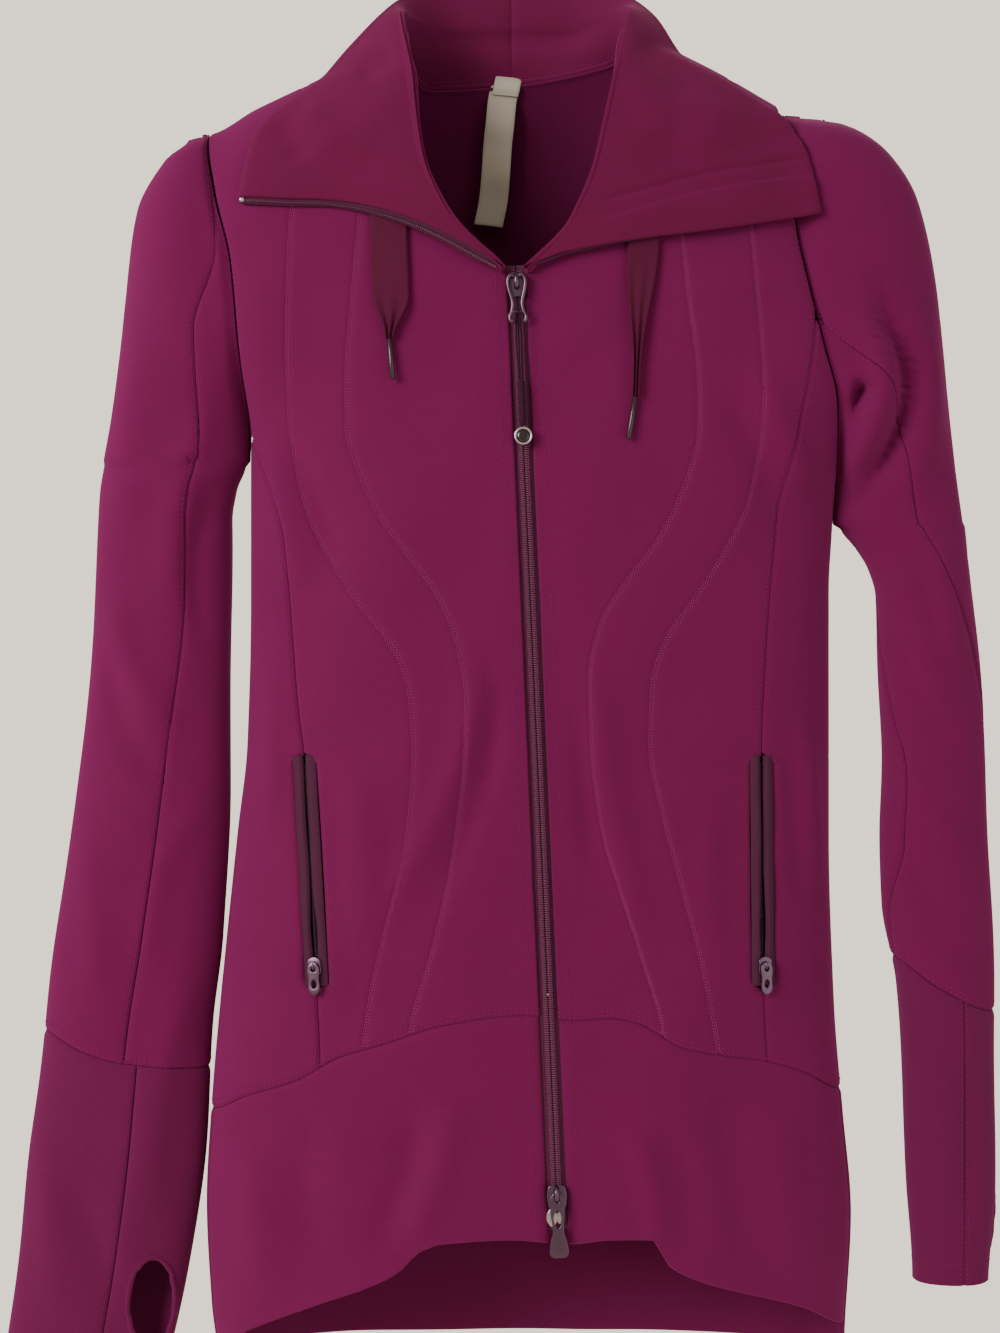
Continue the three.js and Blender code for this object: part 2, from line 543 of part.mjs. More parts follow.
// ---------------------------------------------------------------- zips
/* A group whose own -Z runs down a zip and whose -Y points out of the jacket. */
function zipFrame(top, bottom, outward) {
  const up = top.clone().sub(bottom).normalize();
  const across = outward.clone().negate().cross(up).normalize();
  const inward = up.clone().cross(across);
  const frame = new THREE.Group();
  frame.position.copy(top);
  frame.quaternion.setFromRotationMatrix(new THREE.Matrix4().makeBasis(across, inward, up));
  jacket.add(frame);
  return frame;
}

/* A block in a zip's own frame, given its lowest and highest corners. */
function block(frame, name, look, low, high) {
  const size = high.map((value, axis) => value - low[axis]);
  const mesh = add(name, look, new THREE.BoxGeometry(...size));
  mesh.position.set(...low.map((value, axis) => value + size[axis] / 2));
  frame.add(mesh);
  return mesh;
}

/* A flat outline in the frame's XZ plane with an optional window, from y0 back to y1. */
function plate(frame, name, look, outline, y0, y1, windows = []) {
  const shape = new THREE.Shape(outline.map(([x, z]) => new THREE.Vector2(x, z)));
  shape.holes = windows.map((hole) => new THREE.Path(hole.map(([x, z]) => new THREE.Vector2(x, z))));
  const geometry = new THREE.ExtrudeGeometry(shape, { depth: y1 - y0, bevelEnabled: false,
    curveSegments: 6 });
  geometry.rotateX(Math.PI / 2);
  geometry.translate(0, y1, 0);
  const mesh = add(name, look, geometry);
  frame.add(mesh);
  return mesh;
}

/* A channel section pushed along the zip: the slider's front plate with a flange down each side. */
function channel(frame, name, half, plateFront, plateBack, flangeBack, flange, topZ, length) {
  const shape = new THREE.Shape([
    [-half, plateFront], [half, plateFront], [half, flangeBack], [half - flange, flangeBack],
    [half - flange, plateBack], [-half + flange, plateBack], [-half + flange, flangeBack],
    [-half, flangeBack],
  ].map(([x, y]) => new THREE.Vector2(x, y)));
  const geometry = new THREE.ExtrudeGeometry(shape, { depth: length, bevelEnabled: false });
  geometry.translate(0, 0, topZ - length);
  const mesh = add(name, 'metal', geometry);
  frame.add(mesh);
}

const rectangle = (x0, x1, z0, z1) => [[x0, z0], [x1, z0], [x1, z1], [x0, z1]];
const zipPoint = (z) => new THREE.Vector3(zipX(z), -frontDepth(z), z);
const mainZip = zipFrame(zipPoint(ZIP_TOP.z), zipPoint(ZIP_BOTTOM.z), new THREE.Vector3(0, -1, 0));
const boxHeight = 9;
const chainEnd = boxHeight - ZIP_LENGTH;
for (const hand of ['right', 'left']) {
  const sign = HAND[hand];
  const pair = (near, far) => (sign < 0 ? [-far, -near] : [near, far]);
  const [chain0, chain1] = pair(0.15, 3.2);
  block(mainZip, `zip_chain_${hand}`, 'teeth', [chain0, -1.2, chainEnd], [chain1, 1.2, 0]);
  const [tape0, tape1] = pair(0.3, 14);
  block(mainZip, `zip_tape_${hand}`, 'tape', [tape0, 2.4, chainEnd - 12], [tape1, 3.2, 3]);
}
block(mainZip, 'zip_retainer_box', 'metal', [-3.6, -1.6, chainEnd - boxHeight], [3.6, 1.8, chainEnd - 0.4]);
channel(mainZip, 'slider_top', 5.2, -3.2, -1.7, 1.6, 1.2, -3, 12);
channel(mainZip, 'slider_bottom', 5.2, -3.2, -1.7, 1.6, 1.2, chainEnd + 13, 12);
const topPull = [[-1.6, -5], [1.6, -5], [3.4, -9], [2, -15], [4, -23], [3, -27], [-3, -27], [-4, -23],
  [-2, -15],
  [-3.4, -9]];
plate(mainZip, 'pull_top', 'metal', topPull, -5.4, -3.8, [rectangle(-1.6, 1.6, -24.5, -20)]);
const bottomPull = [[-2, 0], [2, 0], [3.4, -8], [2.6, -22], [4.4, -27], [4, -34], [-4, -34], [-4.4, -27],
  [-2.6, -22], [-3.4, -8]].map(([x, z]) => [x, z + chainEnd + 8]);
plate(mainZip, 'pull_bottom', 'metal', bottomPull, -5.4, -3.8);

/* The puller's cord is looped through the eye and held by a sheath that ends in a plain disc. */
const loop = [[-1.3, -63], [-1.5, -52], [-2.3, -42], [-2.6, -34], [-1.9, -29.6], [0, -27.8], [1.9, -29.6],
  [2.6, -34], [2.3, -42], [1.5, -52], [1.3, -63]];
const loopCurve = new THREE.CatmullRomCurve3(loop.map(([x, z]) => new THREE.Vector3(x, -4.6, z)));
const ringShape = (radius, sides) => new THREE.Shape(Array.from({ length: sides }, (_, k) => (
  new THREE.Vector2(radius * Math.cos((k * 2 * Math.PI) / sides),
    radius * Math.sin((k * 2 * Math.PI) / sides)))));
const loopCord = add('pull_cord', 'cord',
  new THREE.ExtrudeGeometry(ringShape(0.6, 8), { steps: 30, extrudePath: loopCurve }));
mainZip.add(loopCord);
const sheath = add('cord_sheath', 'dark', new THREE.CylinderGeometry(2.2, 2.2, 26, 10));
sheath.rotation.x = Math.PI / 2;
sheath.position.set(0, -5, -63.4 - 13);
mainZip.add(sheath);
const charm = add('charm_disc', 'metal', new THREE.CylinderGeometry(5.3, 5.3, 2.4, 20));
charm.position.set(0, -5, -89.8 - 5.4);
mainZip.add(charm);

// ---------------------------------------------------------------- pockets
for (const hand of ['right', 'left']) {
  const sign = HAND[hand];
  const spot = (z, shift) => bodyPoint(turnAt(princess[hand](z) + shift, z), z, false);
  const top = spot(POCKET_TOP, 0);
  const bottom = spot(POCKET_BOTTOM, 0);
  const across = spot(-470, 5).sub(spot(-470, -5));
  const outward = across.clone().cross(top.clone().sub(bottom)).normalize();
  if (outward.y > 0) outward.negate();
  const pocket = zipFrame(top, bottom, outward);
  const length = top.distanceTo(bottom);
  plate(pocket, `pocket_welt_${hand}`, 'tape', rectangle(-6.3, 6.3, -length + 0.8, -0.8), -0.2, 1.6,
    [rectangle(-4.8, 4.8, -length + 4, -4)]);
  plate(pocket, `pocket_zip_${hand}`, 'teeth', rectangle(-4.4, 4.4, -length + 4.4, -4.4), 0.2, 1.6,
    [rectangle(-3.6, 3.6, -length + 7, -7)]);
  block(pocket, `pocket_slider_${hand}`, 'metal', [-3.6, -2.2, -length + 7], [3.6, -0.4, -length + 15]);
  const pull = [[-2, 0], [2, 0], [2.8, -9], [1.6, -16], [-1.6, -16], [-2.8, -9]];
  plate(pocket, `pocket_pull_${hand}`, 'metal', pull.map(([x, z]) => [x, z - length + 12]), -4.2, -2.7);

  const reach = -sign * 78;
  const bagDepth = 15;
  const bagSkin = 4.2;
  const bag = (a, z) => {
    const share = a < 0.45 ? a / 0.45 : (1 - a) / 0.45;
    const turned = clamp01((a - 0.45) / 0.1);
    const bow = Math.sin(turned * Math.PI) * 5;
    const x = princess[hand](z) + sign * 13 + reach * Math.min(1, a < 0.45 || a > 0.55 ? share : 1);
    const surface = bodyPoint(turnAt(x, z), z, false);
    surface.y += bagSkin + bagDepth * turned;
    surface.x -= sign * bow;
    return surface;
  };
  const bagColumns = 12;
  const bagGrid = Array.from({ length: 4 }, (_, j) => Array.from({ length: bagColumns + 1 }, (__, i) => (
    [mix(BAG_SKIP, 1, i / bagColumns), mix(BAG_TOP, BAG_BOTTOM, j / 3)])));
  const middle = (point) => {
    const surface = bodyPoint(turnAt(point.x, point.z), point.z, false);
    return new THREE.Vector3(-sign * 1e-3, point.y - surface.y - bagSkin - bagDepth / 2, 0);
  };
  add(`pocket_bag_${hand}`, 'knit', sheet(bag, bagGrid, middle, 0.8));
}

// ---------------------------------------------------------------- drawcords
for (const hand of ['right', 'left']) {
  const { path, width, end } = DRAWCORD[hand];
  const route = flatCurve(path);
  const [eyeX, eyeZ] = path[0];
  const slope = (frontY(eyeX + 4, CHEST_LEVEL) - frontY(eyeX - 4, CHEST_LEVEL)) / 8;
  const chestY = (x, z) => (
    frontY(eyeX, CHEST_LEVEL) + slope * (x - eyeX) + frontDepth(CHEST_LEVEL) - frontDepth(z));
  const cord = (along, across) => {
    const point = route.getPoint(clamp01(along));
    const wide = width * mix(1, 0.2, smooth((along - 0.55) / 0.45));
    const x = point.x + across * wide;
    return new THREE.Vector3(x, chestY(x, point.z) - CORD_GAP, point.z);
  };
  const grid = evenGrid(1, 10).map((row) => row.map(([a, b]) => [b, a - 0.5]));
  add(`drawcord_${hand}`, 'cord', sheet(cord, grid, () => new THREE.Vector3(0, 1, 0), CORD_THICKNESS));
  const from = path[path.length - 1];
  const place = ([x, z]) => new THREE.Vector3(x, chestY(x, z) - CORD_GAP - AGLET_RADIUS, z);
  const tip = place(end);
  const start = place(from).lerp(tip, 0.03);
  const aglet = add(`aglet_${hand}`, 'dark', new THREE.CylinderGeometry(AGLET_RADIUS, AGLET_RADIUS,
    start.distanceTo(tip), 10));
  aglet.position.copy(start.clone().add(tip).multiplyScalar(0.5));
  aglet.quaternion.setFromUnitVectors(new THREE.Vector3(0, 1, 0), tip.clone().sub(start).normalize());
  const eyelet = add(`eyelet_${hand}`, 'metal', new THREE.TorusGeometry(4, 1, 6, 16));
  eyelet.position.set(eyeX, frontY(eyeX, eyeZ + 8) - 1.4, eyeZ + 8);
  eyelet.rotation.x = Math.PI / 2;
}

// ---------------------------------------------------------------- labels inside the back neck
const labelY = 31;
const sizeLabel = add('size_label', 'label', new THREE.BoxGeometry(16, 0.5, 11));
sizeLabel.position.set(-2, labelY + 1, -3);
const careLabel = add('care_label', 'label', new THREE.BoxGeometry(17, 0.5, 82));
careLabel.position.set(-9, labelY, -50);
careLabel.rotation.y = 0.1;

export default jacket;
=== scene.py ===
import json
import math
import bpy
import numpy as np
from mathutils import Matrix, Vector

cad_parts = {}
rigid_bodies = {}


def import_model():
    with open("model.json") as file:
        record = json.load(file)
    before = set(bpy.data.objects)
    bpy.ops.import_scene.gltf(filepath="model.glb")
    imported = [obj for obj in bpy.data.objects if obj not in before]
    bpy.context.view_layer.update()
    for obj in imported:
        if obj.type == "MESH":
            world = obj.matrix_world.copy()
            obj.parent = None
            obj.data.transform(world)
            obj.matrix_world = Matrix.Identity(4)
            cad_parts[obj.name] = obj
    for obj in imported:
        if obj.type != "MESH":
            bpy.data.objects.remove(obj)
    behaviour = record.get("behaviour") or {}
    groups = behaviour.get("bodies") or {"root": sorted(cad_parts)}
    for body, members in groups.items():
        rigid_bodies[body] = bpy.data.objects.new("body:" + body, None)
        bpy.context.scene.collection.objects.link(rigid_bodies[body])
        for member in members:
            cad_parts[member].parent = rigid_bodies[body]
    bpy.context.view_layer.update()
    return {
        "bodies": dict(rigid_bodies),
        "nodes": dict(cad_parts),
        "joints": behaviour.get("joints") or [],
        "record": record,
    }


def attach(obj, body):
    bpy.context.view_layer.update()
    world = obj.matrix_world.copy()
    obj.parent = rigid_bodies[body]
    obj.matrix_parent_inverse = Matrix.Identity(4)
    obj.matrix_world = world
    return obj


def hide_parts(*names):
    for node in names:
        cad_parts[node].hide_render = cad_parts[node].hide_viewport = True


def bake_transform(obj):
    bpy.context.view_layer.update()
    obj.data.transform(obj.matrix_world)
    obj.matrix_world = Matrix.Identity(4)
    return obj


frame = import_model()

# ------------------------------------------------------------------ stage, camera and light
# A pale studio floor well below the hanging jacket, a camera straight in front of it at chest
# height, a large soft key from the upper left and a weaker fill from the right.
MM = 0.001
CAMERA_PLACE = (-0.007, -1.4, -0.352)
CAMERA_LENS = 85.26
FLOOR_Z = -1.25
FLOOR_RADIUS = 1.75
FLOOR_SIDES = 96


def linear(red, green, blue):
    """An 8-bit display colour as the linear colour that nodes take."""
    shares = [value / 255 for value in (red, green, blue)]
    return [s / 12.92 if s <= 0.04045 else ((s + 0.055) / 1.055) ** 2.4 for s in shares] + [1.0]


def new_material(name, colour, roughness, metallic=0.0):
    """A Principled material, its node tree and its shader."""
    material = bpy.data.materials.new(name)
    material.use_nodes = True
    shader = material.node_tree.nodes["Principled BSDF"]
    shader.inputs["Base Color"].default_value = colour
    shader.inputs["Roughness"].default_value = roughness
    shader.inputs["Metallic"].default_value = metallic
    return material, material.node_tree, shader


camera = bpy.data.objects.new("camera", bpy.data.cameras.new("camera"))
bpy.context.collection.objects.link(camera)
camera.location = CAMERA_PLACE
camera.rotation_euler = (math.pi / 2, 0, 0)
camera.data.sensor_fit = "HORIZONTAL"
camera.data.sensor_width = 36
camera.data.lens = CAMERA_LENS
bpy.context.scene.camera = camera


def soft_light(name, place, target, size, watts, colour):
    """A square area light that faces a point."""
    data = bpy.data.lights.new(name, "AREA")
    data.size = size
    data.energy = watts
    data.color = colour
    lamp = bpy.data.objects.new(name, data)
    bpy.context.collection.objects.link(lamp)
    lamp.location = place
    away = Vector(place) - Vector(target)
    lamp.rotation_euler = away.to_track_quat("Z", "Y").to_euler()


soft_light("key_light", (-1.6, -1.7, 0.35), (0, 0, -0.42), 1.1, 46, (1.0, 0.97, 0.93))
soft_light("fill_light", (1.7, -1.5, -0.6), (0, 0, -0.45), 1.8, 10, (0.97, 0.97, 1.0))
soft_light("back_light", (0.6, 1.9, 0.9), (0, 0, -0.3), 1.6, 22, (1.0, 0.98, 0.96))

world = bpy.data.worlds.new("pale_room")
bpy.context.scene.world = world
world.use_nodes = True
backdrop = world.node_tree.nodes["Background"]
backdrop.inputs["Color"].default_value = linear(229, 218, 202)
seen = world.node_tree.nodes.new("ShaderNodeLightPath")
brightness = world.node_tree.nodes.new("ShaderNodeMapRange")
brightness.inputs["To Min"].default_value = 0.6
brightness.inputs["To Max"].default_value = 2.0
world.node_tree.links.new(seen.outputs["Is Camera Ray"], brightness.inputs["Value"])
world.node_tree.links.new(brightness.outputs[0], backdrop.inputs["Strength"])

floor_mesh = bpy.data.meshes.new("floor")
around = [(FLOOR_RADIUS * math.cos(turn), FLOOR_RADIUS * math.sin(turn), FLOOR_Z)
          for turn in np.linspace(0, 2 * math.pi, FLOOR_SIDES, False)]
floor_mesh.from_pydata(around, [], [list(range(FLOOR_SIDES))])
floor = bpy.data.objects.new("floor", floor_mesh)
bpy.context.collection.objects.link(floor)
floor.data.materials.append(new_material("floor_paint", linear(230, 218, 200), 0.9)[0])

# ------------------------------------------------------------------ drawcords
# Two flat woven cords that come out of eyelets under the folded collar and hang down the chest,
# each gathered at its end into a dark moulded tip. Plum polyester, loose at the lower end.
QUARTER = math.pi / 2
ROUNDNESS = 2.4
FRONT_DEPTH = {-126: 50, -690: 58}
BACK_DEPTH = 48
ARMHOLE_DEPTH = 35
ARMHOLE_FADE = 85
SHOULDER_ROUND = 78
UNDERARM = {"right": -232, "left": -269}
HAND = {"right": -1, "left": 1}
SIDE = {
    "right": [(-40, -178), (-78, -172), (-118, -162.5), (-180, -157), (-217, -153.5), (-232, -154),
              (-313, -154), (-396, -156), (-451, -162), (-549, -172), (-608, -177), (-666, -180),
              (-727, -177), (-756, -174)],
    "left": [(-26, 157), (-66, 160), (-101, 164), (-132, 171), (-167, 180), (-200, 188), (-239, 190),
             (-269, 189), (-307, 187), (-452, 187), (-549, 190), (-612, 195), (-673, 200), (-756, 196)],
}
SHOULDER = [(-180, -38), (-150, -23), (-110, -4), (-72, 16), (-60, 22), (64, 25), (76, 20), (118, 0),
            (159, -23), (190, -38)]


def smooth_line(pairs):
    """A line through (key, value) pairs that never overshoots them, for arrays of keys."""
    keys, values = np.array(sorted(pairs), float).T
    steps = np.diff(values) / np.diff(keys)
    slopes = np.zeros(len(keys))
    product = steps[1:] * steps[:-1]
    total = np.where(product > 0, steps[1:] + steps[:-1], 1)
    slopes[1:-1] = np.where(product > 0, 2 * product / total, 0)

    def at(key):
        key = np.clip(key, keys[0], keys[-1])
        index = np.clip(np.searchsorted(keys, key, side="right") - 1, 0, len(keys) - 2)
        span = keys[index + 1] - keys[index]
        t = (key - keys[index]) / span
        return (values[index] * (1 + 2 * t) * (1 - t) ** 2 + slopes[index] * span * t * (1 - t) ** 2
                + values[index + 1] * t * t * (3 - 2 * t) + slopes[index + 1] * span * t * t * (t - 1))

    return at


def smooth(share):
    """A soft step from 0 to 1."""
    share = np.clip(share, 0, 1)
    return share * share * (3 - 2 * share)


def mix(a, b, share):
    return a + (b - a) * share


def rounded(value, power):
    return np.sign(value) * np.abs(value) ** (2 / power)


side = {hand: smooth_line(SIDE[hand]) for hand in HAND}
shoulder = smooth_line(SHOULDER)


def front_depth(z):
    (top, high), (bottom, low) = FRONT_DEPTH.items()
    return high + (low - high) * (top - z) / (top - bottom)


def centre_x(z):
    return (side["right"](z) + side["left"](z)) / 2


def half_width(z):
    return (side["left"](z) - side["right"](z)) / 2


def armhole_depth(hand, z):
    """Half the armhole's opening from front to back: none below the underarm."""
    return ARMHOLE_DEPTH * smooth((z - UNDERARM[hand]) / ARMHOLE_FADE)


def shoulder_share(x, z):
    """How full the body is below the shoulder seam, where front and back meet."""
    below = np.clip((shoulder(x) - z) / SHOULDER_ROUND, 0, 1)
    return np.sqrt(1 - (1 - below) ** 2)


def body_point(turn, z, back=None):
    """The plain body. turn is -90 degrees at the right side, 0 at the front, 90 at the left side."""
    turn, z = np.broadcast_arrays(np.asarray(turn, float), np.asarray(z, float))
    behind = np.abs(turn) > QUARTER if back is None else np.full(turn.shape, back)
    x = centre_x(z) + half_width(z) * rounded(np.sin(turn), ROUNDNESS)
    edge = np.where(turn < 0, armhole_depth("right", z), armhole_depth("left", z))
    full = np.where(behind, BACK_DEPTH, front_depth(z))
    depth = (edge + (full - edge) * np.abs(rounded(np.cos(turn), ROUNDNESS))) * shoulder_share(x, z)
    return np.stack([x, np.where(behind, depth, -depth), z], -1)


def turn_at(x, z):
    """The turn at which the body's front passes a given x."""
    share = np.clip(np.abs(x - centre_x(z)) / half_width(z), 0, 1)
    return np.sign(x - centre_x(z)) * np.arcsin(share ** (ROUNDNESS / 2))


DRAWCORD = {
    "right": {"path": [(-71, -42), (-70.5, -100), (-69, -145), (-70, -165)], "width": 20, "end": (-68, -189),
              "gather": (0.8, 0.2)},
    "left": {"path": [(76, -60), (75, -106), (72, -150), (70, -198)], "width": 17, "end": (66, -223),
             "gather": (0.4, 0.5)},
}
CHEST_LEVEL = -110
CORD_GAP = 2.2


def through(points, count):
    """Evenly spaced points on a smooth curve through a few given ones."""
    points = np.array(points, float)
    first = 2 * points[0] - points[1]
    last = 2 * points[-1] - points[-2]
    padded = np.vstack([first, points, last])
    fine = []
    for k in range(len(points) - 1):
        a, b, c, d = padded[k:k + 4]
        for t in np.linspace(0, 1, 40, endpoint=False):
            fine.append(0.5 * (2 * b + (c - a) * t + (2 * a - 5 * b + 4 * c - d) * t ** 2
                               + (3 * b - a - 3 * c + d) * t ** 3))
    fine = np.array(fine + [points[-1]])
    lengths = np.concatenate([[0], np.cumsum(np.linalg.norm(np.diff(fine, axis=0), axis=1))])
    wanted = np.linspace(0, lengths[-1], count)
    return np.stack([np.interp(wanted, lengths, fine[:, k]) for k in range(points.shape[1])], -1)


def piece_from(name, points, faces, material, body, uv=None):
    """A smooth-shaded piece from points in millimetres, riding on a body."""
    mesh = bpy.data.meshes.new(name)
    mesh.from_pydata((np.asarray(points) * MM).tolist(), [], [tuple(face) for face in faces])
    mesh.polygons.foreach_set("use_smooth", [True] * len(mesh.polygons))
    if uv is not None:
        layer = mesh.uv_layers.new(name="UVMap")
        corners = np.empty(len(mesh.loops), np.int32)
        mesh.loops.foreach_get("vertex_index", corners)
        layer.data.foreach_set("uv", (np.asarray(uv) * MM)[corners].ravel())
    mesh.materials.append(material)
    mesh.update()
    piece = bpy.data.objects.new(name, mesh)
    bpy.context.collection.objects.link(piece)
    if body:
        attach(piece, body)
    return piece


def grid_normals(grid):
    across = np.gradient(grid, axis=1)
    down = np.gradient(grid, axis=0)
    normal = np.cross(across, down)
    return normal / np.maximum(np.linalg.norm(normal, axis=-1, keepdims=True), 1e-9)


def volume_of(points, faces):
    a, b, c, d = (points[faces[:, k]] for k in range(4))
    return np.einsum("ij,ij->i", a, np.cross(b, c)).sum() + np.einsum("ij,ij->i", a, np.cross(c, d)).sum()


def shell(grid, thickness, inward, rim=0.42):
    """A grid of outer points becomes a closed cloth with a rounded edge. inward is a grid of unit vectors."""
    rows, columns = grid.shape[:2]
    inner = grid + inward * thickness
    middle = (grid + inner) / 2

    def out(edge, before):
        away = edge - before
        return edge + away / np.maximum(np.linalg.norm(away, axis=-1, keepdims=True), 1e-9) * thickness * rim

    left = out(middle[:, 0], middle[:, 1])
    right = out(middle[:, -1], middle[:, -2])
    top = out(middle[0], middle[1])
    bottom = out(middle[-1], middle[-2])
    points = np.vstack([grid.reshape(-1, 3), inner.reshape(-1, 3), left, right, top, bottom])
    outer_at = np.arange(rows * columns).reshape(rows, columns)
    inner_at = outer_at + rows * columns
    left_at = 2 * rows * columns + np.arange(rows)
    right_at = left_at + rows
    top_at = right_at[-1] + 1 + np.arange(columns)
    bottom_at = top_at + columns

    def strip(a, b):
        return np.stack([a[:-1], a[1:], b[1:], b[:-1]], -1)

    def quads(at):
        return np.stack([at[:-1, :-1], at[1:, :-1], at[1:, 1:], at[:-1, 1:]], -1).reshape(-1, 4)

    faces = [quads(outer_at), quads(inner_at)[:, ::-1]]
    for outer_edge, ring, inner_edge, turned in ((outer_at[:, 0], left_at, inner_at[:, 0], True),
                                                 (outer_at[:, -1], right_at, inner_at[:, -1], False),
                                                 (outer_at[0], top_at, inner_at[0], False),
                                                 (outer_at[-1], bottom_at, inner_at[-1], True)):
        for a, b in ((outer_edge, ring), (ring, inner_edge)):
            faces.append(strip(a, b)[:, ::-1] if turned else strip(a, b))
    corners = [(outer_at[0, 0], top_at[0], inner_at[0, 0], left_at[0]),
               (outer_at[0, -1], right_at[0], inner_at[0, -1], top_at[-1]),
               (outer_at[-1, 0], left_at[-1], inner_at[-1, 0], bottom_at[0]),
               (outer_at[-1, -1], bottom_at[-1], inner_at[-1, -1], right_at[-1])]
    faces.append(np.array(corners))
    faces = np.vstack(faces)
    if volume_of(points, faces) < 0:
        faces = faces[:, ::-1]
    across = np.concatenate([[0], np.cumsum(np.linalg.norm(np.diff(grid[rows // 2], axis=0), axis=1))])
    down = np.concatenate([[0], np.cumsum(np.linalg.norm(np.diff(grid[:, columns // 2], axis=0), axis=1))])
    flat = np.stack(np.meshgrid(across, down), -1)
    uv = np.vstack([flat.reshape(-1, 2), flat.reshape(-1, 2), flat[:, 0], flat[:, -1], flat[0], flat[-1]])
    return points, faces, uv


def node_group(name, inputs, outputs):
    """An empty shader node group with named sockets, given as (name, type, default)."""
    group = bpy.data.node_groups.new(name, "ShaderNodeTree")
    for label, kind, default in inputs:
        socket = group.interface.new_socket(name=label, in_out="INPUT", socket_type=kind)
        if default is not None:
            socket.default_value = default
    for label, kind in outputs:
        group.interface.new_socket(name=label, in_out="OUTPUT", socket_type=kind)
    return group, group.nodes.new("NodeGroupInput"), group.nodes.new("NodeGroupOutput")


def arithmetic(tree, operation, first, second=None, third=None):
    """One Math node; a value or a socket may feed each input."""
    node = tree.nodes.new("ShaderNodeMath")
    node.operation = operation
    for index, value in enumerate((first, second, third)):
        if value is None:
            continue
        if isinstance(value, (int, float)):
            node.inputs[index].default_value = value
        else:
            tree.links.new(value, node.inputs[index])
    return node.outputs[0]


def make_weave():
    """Flat woven tape: rows of slanted ribs across the tape's own UV, in metres."""
    group, given, result = node_group("tape_weave", [("Ribs per metre", "NodeSocketFloat", 900.0)],
                                      [("Height", "NodeSocketFloat"), ("Shade", "NodeSocketFloat")])
    uv = group.nodes.new("ShaderNodeUVMap")
    split = group.nodes.new("ShaderNodeSeparateXYZ")
    group.links.new(uv.outputs[0], split.inputs[0])
    ribs = given.outputs[0]
    slanted = arithmetic(group, "ADD", split.outputs[1],
                         arithmetic(group, "MULTIPLY", split.outputs[0], 0.6))
    phase = arithmetic(group, "MULTIPLY", arithmetic(group, "MULTIPLY", slanted, ribs), 2 * math.pi)
    along = arithmetic(group, "MULTIPLY", arithmetic(group, "MULTIPLY", split.outputs[0], ribs), 2 * math.pi)
    height = arithmetic(group, "ADD", arithmetic(group, "SINE", phase),
                        arithmetic(group, "MULTIPLY", arithmetic(group, "SINE", along), 0.5))
    group.links.new(height, result.inputs["Height"])
    # Painted shade and light: the colour is darkened in the grooves between the ribs and lightened on their
    # crests.
    group.links.new(arithmetic(group, "MULTIPLY_ADD", height, 0.12, 0.9), result.inputs["Shade"])
    return group


tape_weave = make_weave()


def woven_material(name, colour, roughness, ribs, depth):
    """A woven tape or cord: its colour darkened between the ribs as painted shade, with the ribs in relief.
    """
    material, tree, shader = new_material(name, colour, roughness)
    weave = tree.nodes.new("ShaderNodeGroup")
    weave.node_tree = tape_weave
    weave.inputs["Ribs per metre"].default_value = ribs
    tint = tree.nodes.new("ShaderNodeMix")
    tint.data_type = "RGBA"
    tint.blend_type = "MULTIPLY"
    tint.inputs[0].default_value = 1.0
    tint.inputs[6].default_value = colour
    tree.links.new(weave.outputs["Shade"], tint.inputs[7])
    tree.links.new(tint.outputs[2], shader.inputs["Base Color"])
    bump = tree.nodes.new("ShaderNodeBump")
    bump.inputs["Distance"].default_value = depth * MM
    bump.inputs["Strength"].default_value = 0.8
    tree.links.new(weave.outputs["Height"], bump.inputs["Height"])
    tree.links.new(bump.outputs[0], shader.inputs["Normal"])
    shader.inputs["Specular IOR Level"].default_value = 0.2
    shader.inputs["Sheen Weight"].default_value = 0.15
    shader.inputs["Sheen Tint"].default_value = colour
    return material


cord_cloth = woven_material("drawcord_weave", linear(94, 20, 58), 0.8, 1100.0, 0.12)
tip_plastic, _, tip_shader = new_material("tip_plastic", linear(46, 18, 34), 0.3)
tip_shader.inputs["Coat Weight"].default_value = 0.4


def chest_plane(hand):
    """The flat the cord lies on: the chest at its eyelet, carried straight down."""
    eye_x = DRAWCORD[hand]["path"][0][0]
    near = body_point(turn_at(np.array([eye_x - 4.0, eye_x, eye_x + 4.0]), CHEST_LEVEL), CHEST_LEVEL,
                      False)[:, 1]
    slope = (near[2] - near[0]) / 8

    def y_at(x, z):
        return near[1] + slope * (x - eye_x) + front_depth(CHEST_LEVEL) - front_depth(z)

    return y_at


def lathe(name, profile, place, axis, material, body, sides=20):
    """A turned piece: (radius, height) pairs about an axis that starts at a place, closed at both ends."""
    up = np.array(axis, float) / np.linalg.norm(axis)
    helper = np.array([1.0, 0, 0]) if abs(up[0]) < 0.8 else np.array([0, 0, 1.0])
    first = np.cross(up, helper)
    first /= np.linalg.norm(first)
    second = np.cross(up, first)
    angles = np.linspace(0, 2 * np.pi, sides, endpoint=False)
    rings = [np.array(place) + up * height
             + radius * (np.outer(np.cos(angles), first) + np.outer(np.sin(angles), second))
             for radius, height in profile]
    points = np.vstack(rings)
    faces = []
    for level in range(len(profile) - 1):
        for k in range(sides):
            a = level * sides + k
            b = level * sides + (k + 1) % sides
            faces.append((a, b, b + sides, a + sides))
    faces.append(tuple(range(sides))[::-1])
    faces.append(tuple(range((len(profile) - 1) * sides, len(profile) * sides)))
    return piece_from(name, points, faces, material, body)


